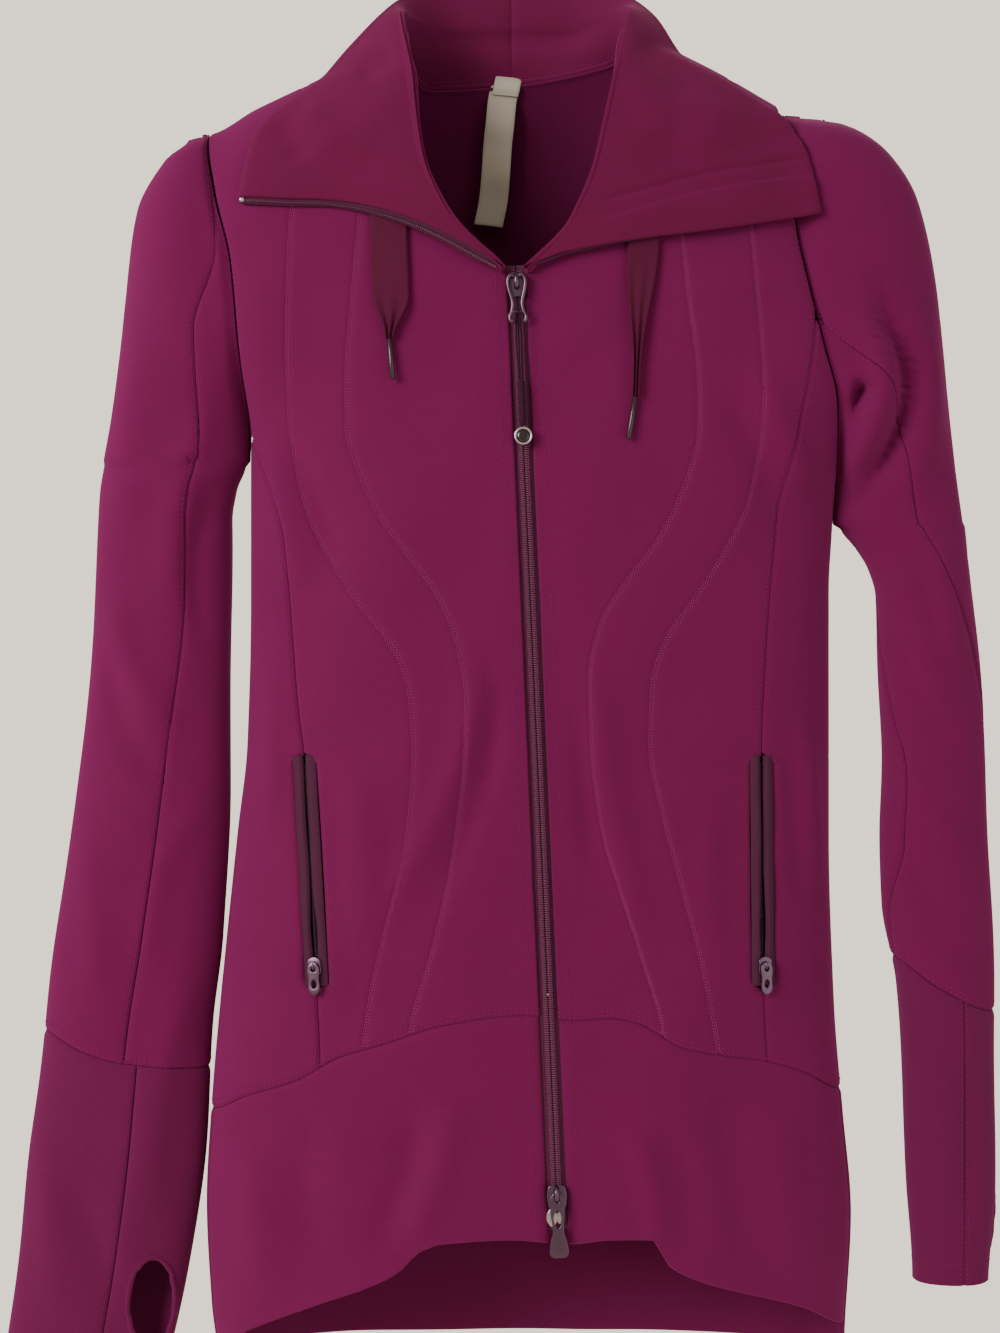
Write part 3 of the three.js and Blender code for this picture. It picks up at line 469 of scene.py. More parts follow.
plated_metal, metal_tree, metal_shader = new_material("plated_metal", linear(112, 88, 108), 0.26, 1.0)
scratches = metal_tree.nodes.new("ShaderNodeTexNoise")
scratches.inputs["Scale"].default_value = 900.0
scratches.inputs["Detail"].default_value = 3.0
metal_place = metal_tree.nodes.new("ShaderNodeTexCoord")
metal_tree.links.new(metal_place.outputs["Object"], scratches.inputs["Vector"])
metal_rough = metal_tree.nodes.new("ShaderNodeMapRange")
metal_rough.inputs["To Min"].default_value = 0.22
metal_rough.inputs["To Max"].default_value = 0.45
metal_tree.links.new(scratches.outputs[0], metal_rough.inputs["Value"])
metal_tree.links.new(metal_rough.outputs[0], metal_shader.inputs["Roughness"])

for hand in HAND:
    facts = DRAWCORD[hand]
    y_at = chest_plane(hand)
    count = 90
    route = through(facts["path"], count)
    share = np.linspace(0, 1, count)
    gather_from, gather_over = facts["gather"]
    width = facts["width"] * mix(1, 0.2, smooth((share - gather_from) / gather_over))
    columns = 17
    across = np.linspace(-0.5, 0.5, columns)
    x = route[:, :1] + across * width[:, None]
    z = np.repeat(route[:, 1:], columns, axis=1)
    gather = smooth((share - gather_from + 0.05) / gather_over)[:, None]
    folds = -1.1 * gather * (1 + np.cos(across[None, :] * 4 * np.pi)) - 0.35 * np.sin(share * 9)[:, None]
    cord_grid = np.stack([x, y_at(x, z) - CORD_GAP - 1.5 + folds, z], -1)
    facing = np.broadcast_to(np.array([0.0, 1.0, 0.0]), cord_grid.shape)
    points, faces, uv = shell(cord_grid, 1.2, facing)
    cord = piece_from(f"drawcord_{hand}_woven", points, faces, cord_cloth, f"tie_{hand}", uv)
    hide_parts(f"drawcord_{hand}")
    middle = np.stack([route[:, 0], y_at(route[:, 0], route[:, 1]) - CORD_GAP, route[:, 1]], -1)
    length = np.linalg.norm(np.diff(middle, axis=0), axis=1).sum()

    start = np.array([facts["path"][-1][0], 0, facts["path"][-1][1]], float)
    finish = np.array([facts["end"][0], 0, facts["end"][1]], float)
    for point in (start, finish):
        point[1] = y_at(point[0], point[2]) - CORD_GAP - 1.4
    reach = np.linalg.norm(finish - start)
    profile = [(1.15, 0.4), (1.5, 0.8), (1.55, reach * 0.5), (1.5, reach - 0.9), (1.1, reach - 0.1),
               (0.4, reach)]
    tip = lathe(f"drawcord_{hand}_tip", profile, start, finish - start, tip_plastic, f"tie_{hand}")
    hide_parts(f"aglet_{hand}")

# ------------------------------------------------------------------ knit cloth
# Double-knit stretch cloth: wales and courses in relief on each piece's own UV map, with painted
# shade in the grooves between them, a slightly mottled plum with a painted sheen that goes paler at
# grazing angles, and a soft sheen from the brushed yarn.
CLOTH = 1.6


def make_knit():
    """Columns of small V-shaped stitches from a UV map in metres: relief, and a shade for the colour that is
    painted shade in the grooves between the stitches, with random mottle and flecks.
    """
    group, given, result = node_group("knit_surface", [("Columns per metre", "NodeSocketFloat", 950.0),
                                                       ("Mottle", "NodeSocketFloat", 0.12)],
                                      [("Height", "NodeSocketFloat"), ("Shade", "NodeSocketFloat")])
    uv = group.nodes.new("ShaderNodeUVMap")
    split = group.nodes.new("ShaderNodeSeparateXYZ")
    group.links.new(uv.outputs[0], split.inputs[0])
    column = arithmetic(group, "MULTIPLY", split.outputs[0], given.outputs[0])
    across = arithmetic(group, "PINGPONG", column, 0.5)
    ridge = arithmetic(group, "SINE", arithmetic(group, "MULTIPLY", across, 2 * math.pi))
    slant = arithmetic(group, "MULTIPLY_ADD", across, 0.9,
                       arithmetic(group, "MULTIPLY", arithmetic(group, "MULTIPLY", split.outputs[1],
                                                                given.outputs[0]), 1.25))
    leg = arithmetic(group, "SINE", arithmetic(group, "MULTIPLY", slant, 2 * math.pi))
    height = arithmetic(group, "MULTIPLY_ADD", leg, 0.45, ridge)
    place = group.nodes.new("ShaderNodeTexCoord")
    cloud = group.nodes.new("ShaderNodeTexNoise")
    cloud.inputs["Scale"].default_value = 26.0
    cloud.inputs["Detail"].default_value = 4.0
    group.links.new(place.outputs["Object"], cloud.inputs["Vector"])
    fleck = group.nodes.new("ShaderNodeTexNoise")
    fleck.inputs["Scale"].default_value = 1700.0
    fleck.inputs["Detail"].default_value = 1.0
    group.links.new(place.outputs["Object"], fleck.inputs["Vector"])
    spread = arithmetic(group, "MULTIPLY", arithmetic(group, "SUBTRACT", cloud.outputs[0], 0.5),
                        given.outputs[1])
    grain = arithmetic(group, "MULTIPLY_ADD", arithmetic(group, "SUBTRACT", fleck.outputs[0], 0.5), 0.35,
                       1.0)
    # Painted shade: the colour is darkened in the grooves between the stitches, following their relief.
    shade = arithmetic(group, "ADD", arithmetic(group, "MULTIPLY_ADD", height, 0.07, grain), spread)
    group.links.new(arithmetic(group, "MULTIPLY_ADD", fleck.outputs[0], 0.5, height),
                    result.inputs["Height"])
    group.links.new(shade, result.inputs["Shade"])
    return group


knit_surface = make_knit()


def knit_material(name, colour, pale, depth, columns=950.0):
    """Knit cloth of one colour, with a painted sheen: the colour goes towards a paler one where it is seen
    edge on.
    """
    material, tree, shader = new_material(name, colour, 0.86)
    knit = tree.nodes.new("ShaderNodeGroup")
    knit.node_tree = knit_surface
    knit.inputs["Columns per metre"].default_value = columns
    # Painted sheen: the facing weight blends the colour towards the pale one at grazing angles.
    edge = tree.nodes.new("ShaderNodeLayerWeight")
    edge.inputs["Blend"].default_value = 0.32
    base = tree.nodes.new("ShaderNodeMix")
    base.data_type = "RGBA"
    base.inputs[6].default_value = colour
    base.inputs[7].default_value = pale
    tree.links.new(edge.outputs["Facing"], base.inputs[0])
    tint = tree.nodes.new("ShaderNodeMix")
    tint.data_type = "RGBA"
    tint.blend_type = "MULTIPLY"
    tint.inputs[0].default_value = 1.0
    tree.links.new(base.outputs[2], tint.inputs[6])
    tree.links.new(knit.outputs["Shade"], tint.inputs[7])
    tree.links.new(tint.outputs[2], shader.inputs["Base Color"])
    bump = tree.nodes.new("ShaderNodeBump")
    bump.inputs["Distance"].default_value = depth * MM
    bump.inputs["Strength"].default_value = 0.6
    tree.links.new(knit.outputs["Height"], bump.inputs["Height"])
    tree.links.new(bump.outputs[0], shader.inputs["Normal"])
    shader.inputs["Specular IOR Level"].default_value = 0.16
    shader.inputs["Sheen Weight"].default_value = 0.2
    shader.inputs["Sheen Roughness"].default_value = 0.45
    shader.inputs["Sheen Tint"].default_value = linear(180, 66, 130)
    return material


# The second colour of each knit is its painted sheen, seen at grazing angles.
plum = knit_material("plum_knit", linear(108, 14, 73), linear(138, 38, 104), 0.05)
# A darker copy of the same plum knit, for the back and the pocket bags: painted shade.
plum_shaded = knit_material("plum_knit_shaded", linear(102, 14, 70), linear(130, 36, 98), 0.05)
plum_rib = knit_material("plum_cuff_knit", linear(102, 17, 70), linear(130, 42, 102), 0.07, 800.0)
plum_collar = knit_material("plum_collar_knit", linear(99, 13, 62), linear(130, 36, 92), 0.05)

# ------------------------------------------------------------------ body panels
# The front, sides and back, cut along the jacket's seams: middle fronts beside the zip, narrow
# contour strips, side fronts to the pocket seams, side panels, a back with a yoke, and the deep
# hem band. Each is a thin closed cloth whose edges dip where it is sewn to the next.
INNER_CONTOUR = {
    "right": [(30, -80), (-60, -84), (-140, -91), (-190, -94.5), (-215, -94.5), (-236, -89), (-265, -76),
              (-286, -61), (-314, -41), (-340, -31), (-371, -26), (-406, -27), (-463, -34), (-508, -43.5),
              (-566, -58)],
    "left": [(30, 88), (-60, 93), (-140, 101), (-190, 107), (-216, 107.5), (-243, 101), (-276, 86),
             (-304, 65), (-329, 50), (-360, 44), (-398, 45), (-444, 51), (-482, 62), (-515, 73), (-566, 86)],
}
OUTER_CONTOUR = {
    "right": [(30, -121), (-60, -124), (-120, -128), (-186, -129.5), (-211, -129.5), (-230, -127),
              (-265, -118), (-287, -107), (-311, -91), (-335, -72), (-354, -62), (-371, -58), (-402, -56),
              (-453, -60), (-502, -72), (-542, -81), (-580, -85)],
    "left": [(30, 128), (-60, 133), (-120, 139), (-186, 144), (-217, 143.5), (-255, 137), (-288, 121),
             (-314, 104), (-337, 88), (-364, 80), (-398, 79), (-436, 86), (-474, 96), (-512, 106),
             (-545, 113), (-580, 118)],
}
PRINCESS = {
    "right": [(-214, -153.6), (-232, -147), (-250, -139), (-280, -131), (-314, -129), (-369, -124),
              (-404, -120), (-536, -112), (-600, -110)],
    "left": [(-148, 175), (-183, 171), (-209, 165), (-240, 158), (-269, 153), (-308, 149), (-347, 146),
             (-401, 143.5), (-532, 144.5), (-600, 148)],
}
BACK_PRINCESS = {"right": -118, "left": 150}
SIDE_TOP = {"right": -216, "left": -150}
NECK_EDGE = {
    "right": [(32, -62), (4, -59), (-12, -55), (-42, -53), (-65, -50), (-84, -41), (-101, -29),
              (-126, -4.5)],
    "left": [(32, 66), (9, 61), (-14, 58), (-44, 52), (-72, 46), (-93, 38), (-107, 27), (-126, 8.5)],
}
BACK_NECK = [(-72, 16), (-50, -3), (0, 0), (58, 10), (76, 20)]
BAND_SEAM = [(-181, -611), (-152, -599), (-124, -589), (-99, -575), (-72, -566.5), (-38, -555.5), (7, -550),
             (34, -553), (56, -552), (72, -555), (97, -569), (120, -574), (145, -578), (167, -585),
             (197, -599)]
FRONT_HEM = [(-181, -752), (-150, -733), (-114, -717), (-76, -702), (-64, -695), (-53, -684), (-38, -679),
             (0, -677), (34, -679), (55, -677), (80, -677), (89, -692), (109, -702), (167, -720),
             (200, -736)]
BACK_HEM = -756
YOKE_SEAM = -118
ZIP_TOP = (2, -126)
ZIP_BOTTOM = (26, -671)
ZIP_SLOT = 6.2
POCKET_TOP = -405
POCKET_BOTTOM = -535
POCKET_SLOT = 7.0
SEAM_SHARE = 0.0028

inner_contour, outer_contour, princess, neck_edge = (
    {hand: smooth_line(table[hand]) for hand in HAND}
    for table in (INNER_CONTOUR, OUTER_CONTOUR, PRINCESS, NECK_EDGE))
back_neck = smooth_line(BACK_NECK)
band_seam = smooth_line(BAND_SEAM)
front_hem = smooth_line(FRONT_HEM)

# Folds as (x, height) routes with a half width, a height and which side of the cloth they are on.
FRONT_FOLDS = [
    ([(-30, -330), (-22, -371), (-41, -432), (-80, -510)], 9, 2.4),
    ([(-14, -345), (-8, -385), (-24, -440), (-52, -506)], 8, -1.8),
    ([(-60, -690), (-42, -640), (-31, -590)], 9, 2.6),
    ([(-80, -690), (-62, -640), (-55, -596)], 8, -1.8),
    ([(84, -692), (80, -650), (66, -606)], 8, 2.4),
    ([(104, -690), (100, -650), (88, -610)], 9, -1.6),
    ([(168, -372), (174, -420), (184, -500)], 7, 2.8),
    ([(156, -380), (161, -430), (168, -500)], 6, -1.8),
    ([(140, -176), (158, -222), (176, -262)], 10, 2.6),
    ([(120, -186), (140, -232), (160, -286)], 9, -1.6),
    ([(-148, -212), (-132, -262), (-118, -318)], 10, 2.0),
    ([(-136, -206), (-116, -252), (-96, -300)], 8, -1.4),
    ([(-150, -330), (-140, -380), (-134, -440)], 9, 2.0),
    ([(-92, -400), (-84, -460), (-84, -530)], 11, 1.6),
    ([(44, -330), (52, -400), (66, -470), (82, -530)], 9, 2.0),
    ([(36, -360), (40, -420), (50, -480)], 8, -1.4),
    ([(60, -150), (20, -168), (-30, -160)], 12, 1.2),
    ([(118, -420), (112, -470), (118, -530)], 9, 1.4),
    ([(150, -600), (158, -660), (166, -712)], 13, 2.4),
    ([(-150, -620), (-146, -680), (-140, -724)], 13, 2.2),
    ([(120, -592), (128, -650), (134, -700)], 11, -1.8),
    ([(-114, -600), (-118, -650), (-112, -700)], 12, -1.6),
]
BACK_FOLDS = [
    ([(-120, -150), (-60, -240), (-20, -330)], 14, 2.4),
    ([(130, -170), (84, -250), (50, -330)], 14, 2.2),
    ([(-90, -330), (0, -352), (100, -338)], 13, -2.2),
    ([(-96, -366), (0, -384), (104, -372)], 12, 2.4),
    ([(-60, -420), (-74, -520), (-92, -600)], 15, 2.2),
    ([(70, -420), (84, -520), (100, -600)], 15, 2.2),
    ([(10, -600), (14, -680), (10, -750)], 16, -1.8),
    ([(-120, -620), (-124, -690), (-120, -750)], 14, 2.2),
    ([(130, -620), (136, -690), (132, -750)], 14, 2.2),
]


def fold_height(x, z, folds):
    """The height of every fold at a point: a rounded ridge along each route, faded at its ends."""
    total = np.zeros(np.shape(x))
    for route, width, height in folds:
        line = through(route, 24)
        offset = np.stack([x, z], -1)[..., None, :] - line
        distance = np.hypot(offset[..., 0], offset[..., 1])
        nearest = distance.argmin(-1)
        along = nearest / (len(line) - 1)
        fade = smooth(along / 0.3) * smooth((1 - along) / 0.3)
        total += height * fade * np.exp(-(distance.min(-1) / width) ** 2)
    return total


def ripple(x, z, seed):
    """Slow uneven swells of the cloth, from a few fixed waves."""
    waves = np.random.default_rng(seed)
    total = np.zeros(np.shape(x))
    for _ in range(10):
        long, angle, start = waves.uniform(55, 150), waves.uniform(-1.1, 1.1), waves.uniform(0, 2 * math.pi)
        total += np.sin((x * np.cos(angle) + z * np.sin(angle) * 0.6) * 2 * math.pi / long + start)
    return total * 0.26


def spaced(count, length, fine=(0.0, 0.7, 1.5, 2.6, 4.4)):
    """Shares from 0 to 1, close together beside both edges so that a seam's dip is round."""
    near = np.array(fine) / length
    return np.concatenate([near, np.linspace(near[-1], 1 - near[-1], count)[1:-1], 1 - near[::-1]])


def settle(edge, point, limits, share, start):
    """The height at which a panel's column of points meets a seam line given over x."""
    z = np.full(np.shape(share), float(start))
    for _ in range(8):
        low, high = limits(z)
        z = mix(z, edge(point(mix(low, high, share), z)[..., 0]), 0.8)
    return z


def panel_grid(point, limits, top, bottom, size, middle):
    """A panel's points, and their distances in millimetres from its left, right, top and bottom edges."""
    wide, tall = size
    across = spaced(max(3, int(wide / 3.2)), wide)
    down = spaced(max(3, int(tall / 3.2)), tall)
    high = settle(top, point, limits, across, middle + tall / 2)
    low = settle(bottom, point, limits, across, middle - tall / 2)
    z = mix(high[None, :], low[None, :], down[:, None])
    start, end = limits(z)
    grid = point(mix(start, end, across[None, :]), z)
    gaps = []
    for axis in (1, 0):
        steps = np.linalg.norm(np.diff(grid, axis=axis), axis=-1)
        so_far = np.insert(np.cumsum(steps, axis=axis), 0, 0, axis=axis)
        gaps += [so_far, so_far.max(axis=axis, keepdims=True) - so_far]
    return grid, np.stack(gaps, -1)


def outward_normals(grid, middle_x):
    """Unit normals that point away from the piece's own upright axis."""
    normal = grid_normals(grid)
    away = np.stack([grid[..., 0] - middle_x, grid[..., 1] * 3, np.zeros(grid.shape[:2])], -1)
    turned = np.sign((normal * away).sum(-1))
    turned[turned == 0] = 1
    return normal * turned[..., None]


def seam_dip(edges, seams, depth=0.85, width=1.7):
    """How far the cloth is drawn in beside the edges that are sewn."""
    dip = np.zeros(edges.shape[:2])
    for index, sewn in enumerate(seams):
        if sewn:
            dip = np.maximum(dip, depth * np.exp(-(edges[..., index] / width) ** 2))
    return dip


THREADS = {}
FOLD_STRENGTH = 1.6


def inset_line(grid, edges, index, distance):
    """The line on a panel that keeps a distance from one of its edges, as points."""
    cells = grid if index < 2 else grid.transpose(1, 0, 2)
    gaps = edges[..., index] if index < 2 else edges[..., index].T
    turned = -1 if gaps[0, 0] > gaps[0, -1] else 1
    line = [[np.interp(distance, gap[::turned], row[::turned, k]) for k in range(3)]
            for row, gap in zip(cells, gaps)]
    return np.array(line)


def sew(group, grid, out, edges, rows):
    """Keeps stitch lines for later: each is a group, an edge and a distance in from it."""
    for index, distance in rows:
        THREADS.setdefault(group, []).append(inset_line(grid + out * 0.12, edges, index, distance))


def body_panel(name, nodes, grid, edges, seams, material, folds, seed, rows=()):
    """One panel of the body, with folds, swells and sewn edges. Folds fade towards the zip and the sides."""
    out = outward_normals(grid, centre_x(grid[..., 2]))
    x, z = grid[..., 0], grid[..., 2]
    side_gap = np.minimum(x - side["right"](z), side["left"](z) - x)
    zip_gap = np.abs(x - zip_x(z))
    calm = smooth(side_gap / 22) * (smooth((zip_gap - 8) / 20) if folds is FRONT_FOLDS else 1)
    if folds is FRONT_FOLDS:
        pocket = np.minimum(np.abs(x - princess["right"](z)), np.abs(x - princess["left"](z)))
        level = smooth((z - POCKET_BOTTOM + 24) / 16) * smooth((POCKET_TOP + 24 - z) / 16)
        calm = calm * (1 - level * (1 - smooth((pocket - 9) / 14)))
        calm = calm * smooth((-118 - z) / 20)
    lift = (fold_height(x, z, folds) * FOLD_STRENGTH + ripple(x, z, seed)) * calm - seam_dip(edges, seams)
    grid = grid + out * lift[..., None]
    out = outward_normals(grid, centre_x(grid[..., 2]))
    points, faces, uv = shell(grid, CLOTH, -out)
    piece = piece_from(name, points, faces, material, "root", uv)
    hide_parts(*nodes)
    sew("body", grid, out, edges, rows)
    return grid, out


def zip_x(z):
    (top_x, top_z), (bottom_x, bottom_z) = ZIP_TOP, ZIP_BOTTOM
    return top_x + (bottom_x - top_x) * (top_z - z) / (top_z - bottom_z)


def ordered(hand, near, far):
    return (near, far) if hand == "left" else (far, near)


def front_limits(hand, near, far):
    """Turns of a front panel's two edges at a height, parted by a hair from its neighbours."""
    low, high = ordered(hand, near, far)
    return lambda z: (low(z) + SEAM_SHARE / 2, high(z) - SEAM_SHARE / 2)


def front_point(turn, z):
    return body_point(turn, z, False)


def any_point(turn, z):
    turn = np.where(turn > math.pi, turn - 2 * math.pi, turn)
    turn = np.where(turn < -math.pi, turn + 2 * math.pi, turn)
    return body_point(turn, z)


def slot_share(z):
    """How far the pocket's mouth is open at a height: none outside it, round at both ends."""
    inside = np.clip(np.minimum(POCKET_TOP + 1.5 - z, z - POCKET_BOTTOM + 1.5) / 5, 0, 1)
    return np.sqrt(1 - (1 - inside) ** 2)


def back_seam_x(hand, z):
    """The seam between side panel and back: it leaves the armhole and runs in to the back princess line."""
    below = UNDERARM[hand] - z
    leaving = side[hand](z) - HAND[hand] * 4 * smooth(below / 14)
    return mix(leaving, BACK_PRINCESS[hand], smooth(below / 70))


for hand, sign in HAND.items():
    under = UNDERARM[hand]

    def seam(table, hand=hand):
        return lambda z: turn_at(table[hand](z), z)

    def zip_edge(z, hand=hand, sign=sign):
        return turn_at(np.where(z > ZIP_TOP[1], neck_edge[hand](z), zip_x(z) + sign * (ZIP_SLOT - 0.6)), z)

    def pocket_edge(shift, hand=hand, sign=sign):
        def edge(z):
            along = turn_at(princess[hand](z) + sign * shift * (0.2 + POCKET_SLOT * slot_share(z)), z)
            return np.where(z > SIDE_TOP[hand] + 1, sign * QUARTER * 0.998, along)
        return edge

    def back_edge(z, hand=hand, sign=sign):
        return sign * math.pi - turn_at(back_seam_x(hand, z), z)

    strips = [("centre_front", zip_edge, seam(inner_contour), 90, (False, True)),
              ("contour_strip", seam(inner_contour), seam(outer_contour), 36, (True, True)),
              ("side_front", seam(outer_contour), pocket_edge(-1), 70, (True, True))]
    for name, near, far, wide, sewn in strips:
        limits = front_limits(hand, near, far)
        grid, edges = panel_grid(front_point, limits, shoulder, band_seam, (wide, 600), -280)
        sewn = sewn if hand == "left" else sewn[::-1]
        near_edge, far_edge = (0, 1) if hand == "left" else (1, 0)
        grid, out = body_panel(f"{name}_{hand}_cloth", [f"{name}_{hand}"], grid, edges, sewn + (True, True),
                               plum, FRONT_FOLDS, 11)
        if name == "centre_front":
            sew("body", grid, out, edges, [(near_edge, 5.8)])
        else:
            sew(f"flat_{hand}", grid, out, edges, [(near_edge, 1.3)])
        if name == "side_front":
            sew("body", grid, out, edges, [(far_edge, 2.2)])
        else:
            sew(f"flat_{hand}", grid, out, edges, [(far_edge, 1.3)])
        sew("body", grid, out, edges, [(3, 1.6), (3, 4.2)])
    low, high = ordered(hand, pocket_edge(1), lambda z, under=under, sign=sign, edge=back_edge: np.where(
        z > under, sign * QUARTER * 0.999, edge(z)))
    side_top = SIDE_TOP[hand] - 3
    grid, edges = panel_grid(any_point, lambda z, low=low, high=high: (low(z) + 0.001, high(z) - 0.001),
                             lambda x, side_top=side_top: np.full(np.shape(x), side_top), band_seam,
                             (86, side_top + 590), (side_top - 590) / 2)
    body_panel(f"side_panel_{hand}_cloth", [f"side_panel_{hand}"], grid, edges, (True,) * 4, plum,
               FRONT_FOLDS, 11, [(0 if hand == "left" else 1, 2.2), (3, 1.6), (3, 4.2)])
    limits = front_limits(hand, lambda z, sign=sign: turn_at(zip_x(z) + sign * (ZIP_SLOT - 0.6), z),
                          lambda z, sign=sign: np.full(np.shape(z), sign * QUARTER * 0.9))
    grid, edges = panel_grid(front_point, limits, lambda x: band_seam(x) - 0.8, front_hem, (170, 130), -630)
    body_panel(f"hem_band_front_{hand}_cloth", [f"hem_band_front_{hand}"], grid, edges,
               (True, True, True, False), plum, FRONT_FOLDS, 11, [(0 if hand == "left" else 1, 6.4)])


def back_limits(z):
    """Turns of the middle back's edges: the armholes, then the back princess seams below them."""
    ends = [math.pi - turn_at(back_seam_x(hand, z), z) for hand in HAND]
    return ends[1] + 0.002, ends[0] - 0.002


def back_point(turn, z):
    return body_point(np.where(turn > math.pi, turn - 2 * math.pi, turn), z, True)


def shoulder_or_neck(x):
    return np.where((x > -72) & (x < 76), back_neck(x), shoulder(x))


grid, edges = panel_grid(back_point, lambda z: (np.full(np.shape(z), QUARTER * 1.004),
                                                np.full(np.shape(z), 3 * QUARTER * 0.9987)),
                         shoulder_or_neck, lambda x: np.full(np.shape(x), YOKE_SEAM), (350, 110), -60)
body_panel("back_yoke_cloth", ["back_yoke"], grid, edges, (True,) * 4, plum_shaded, BACK_FOLDS, 23,
           [(3, 1.8), (2, 2.2)])
grid, edges = panel_grid(back_point, back_limits, lambda x: np.full(np.shape(x), YOKE_SEAM - 0.5),
                         lambda x: band_seam(x) + 0.5, (320, 440), -340)
body_panel("back_panel_cloth", ["back_panel"], grid, edges, (True,) * 4, plum_shaded, BACK_FOLDS, 23,
           [(0, 2.0), (1, 2.0), (2, 1.8), (3, 1.6), (3, 4.2)])
grid, edges = panel_grid(any_point, lambda z: (np.full(np.shape(z), QUARTER * 0.9 + 0.006),
                                               np.full(np.shape(z), 3.1 * QUARTER - 0.006)),
                         lambda x: band_seam(x) - 1.2, lambda x: np.full(np.shape(x), BACK_HEM),
                         (420, 170), -670)
body_panel("hem_band_back_cloth", ["hem_band_back"], grid, edges, (True, True, True, False), plum_shaded,
           BACK_FOLDS, 23)

# ------------------------------------------------------------------ sleeves
# Each sleeve is two long panels of the same knit sewn into a tube, set into the armhole and
# ending at the cuff seam.
SLEEVE_OUTER = {
    "right": [(-42, -192), (-55, -205), (-84, -220), (-136, -227), (-207, -236), (-244, -242), (-337, -248),
              (-431, -258), (-520, -270), (-570, -276), (-638, -285), (-746, -297), (-768, -300)],
    "left": [(-30, 186), (-34, 200), (-52, 224), (-80, 241), (-124, 250), (-188, 257), (-241, 263),
             (-294, 271), (-347, 276), (-452, 281), (-549, 285), (-658, 285), (-716, 282)],
}
SLEEVE_INNER = {
    "right": [(-232, -157), (-248, -163), (-266, -166), (-424, -166), (-511, -170), (-561, -176),
              (-638, -181), (-744, -199), (-768, -206)],
    "left": [(-269, 194), (-282, 203), (-294, 210), (-310, 215), (-347, 217), (-399, 219), (-452, 216.5),
             (-492, 218), (-538, 227), (-575, 230), (-658, 233), (-716, 236)],
}
SLEEVE_HEAD = {"right": (-38, -41), "left": (-28, -29)}
CUFF_SEAM = {
    "right": [(-300, -560), (-272, -567), (-252, -577), (-227, -584), (-170, -588)],
    "left": [(210, -515), (229, -526), (249, -540), (285, -554)],
}
# Where the two sleeve seams run, as (height, turn): 0 is the outer edge and 3.14 the inner one.
FRONT_SEAM = {
    "right": [(-60, -3.0), (-110, -2.5), (-158, -1.89), (-314, -1.98), (-401, -1.79), (-470, -1.69),
              (-600, -1.59)],
    "left": [(-100, -3.5), (-300, -3.25), (-380, -2.6), (-418, -2.21), (-458, -2.3), (-500, -2.8),
             (-545, -3.0)],
}
REAR_SEAM = {
    "right": [(-40, 1.9), (-600, 1.73)],
    "left": [(-60, -3.09), (-144, -3.05), (-156, -2.75), (-172, -2.1), (-192, -1.66), (-226, -1.51),
             (-289, -1.27), (-320, -0.95), (-342, -0.64), (-400, -0.1), (-545, 0.5)],
}
SLEEVE_DEPTH = 25
CUFF_DEPTH = 19
SLEEVE_ROUNDNESS = 2.2
SLEEVE_END = {"right": -768, "left": -713}
SLEEVE_BEND = {"right": ((-0.205, 0, -0.240), (-0.208, 0, -0.350)),
               "left": ((0.243, 0, -0.278), (0.243, 0, -0.388))}
SLEEVE_FOLDS = {
    "right": [
        ([(-176, -196), (-196, -262), (-196, -330)], 9, 3.2),
        ([(-214, -150), (-226, -210), (-226, -280)], 11, 2.2),
        ([(-168, -236), (-184, -290), (-178, -350)], 7, -2.6),
        ([(-236, -300), (-222, -352), (-190, -398)], 9, 3.0),
        ([(-240, -340), (-226, -388), (-196, -428)], 8, -2.2),
        ([(-176, -420), (-204, -470), (-214, -540)], 9, 2.6),
        ([(-252, -430), (-246, -490), (-238, -556)], 10, 2.2),
        ([(-186, -520), (-206, -600), (-216, -680)], 9, 2.2),
        ([(-262, -640), (-240, -700), (-226, -770)], 11, -3.2),
        ([(-282, -600), (-272, -680), (-262, -760)], 11, 2.0),
    ],
    "left": [
        ([(200, -142), (212, -172), (212, -200), (202, -226), (186, -252)], 9, 9.0),
        ([(206, -112), (216, -146), (229, -180), (226, -212), (208, -244), (190, -266)], 6, -9.0),
        ([(207, -186), (201, -195), (192, -208)], 4.5, -13.0),
        ([(234, -140), (244, -180), (240, -222), (222, -262)], 10, 3.5),
        ([(186, -214), (190, -236), (196, -258)], 5, -3.5),
        ([(212, -282), (232, -320), (244, -372)], 9, 3.6),
        ([(240, -262), (252, -310), (262, -366)], 8, 3.0),
        ([(224, -330), (238, -372), (262, -408)], 8, -3.0),
        ([(224, -396), (244, -436), (270, -462)], 9, 3.4),
        ([(222, -440), (240, -480), (268, -506)], 8, -2.8),
        ([(226, -496), (246, -524), (272, -536)], 8, 2.6),
        ([(240, -560), (250, -620), (254, -690)], 11, 2.2),
        ([(272, -560), (270, -620), (266, -690)], 9, -1.8),
    ],
}
sleeve_outer = {hand: smooth_line(SLEEVE_OUTER[hand]) for hand in HAND}
sleeve_inner = {hand: smooth_line(SLEEVE_INNER[hand]) for hand in HAND}
cuff_seam = {hand: smooth_line(CUFF_SEAM[hand]) for hand in HAND}


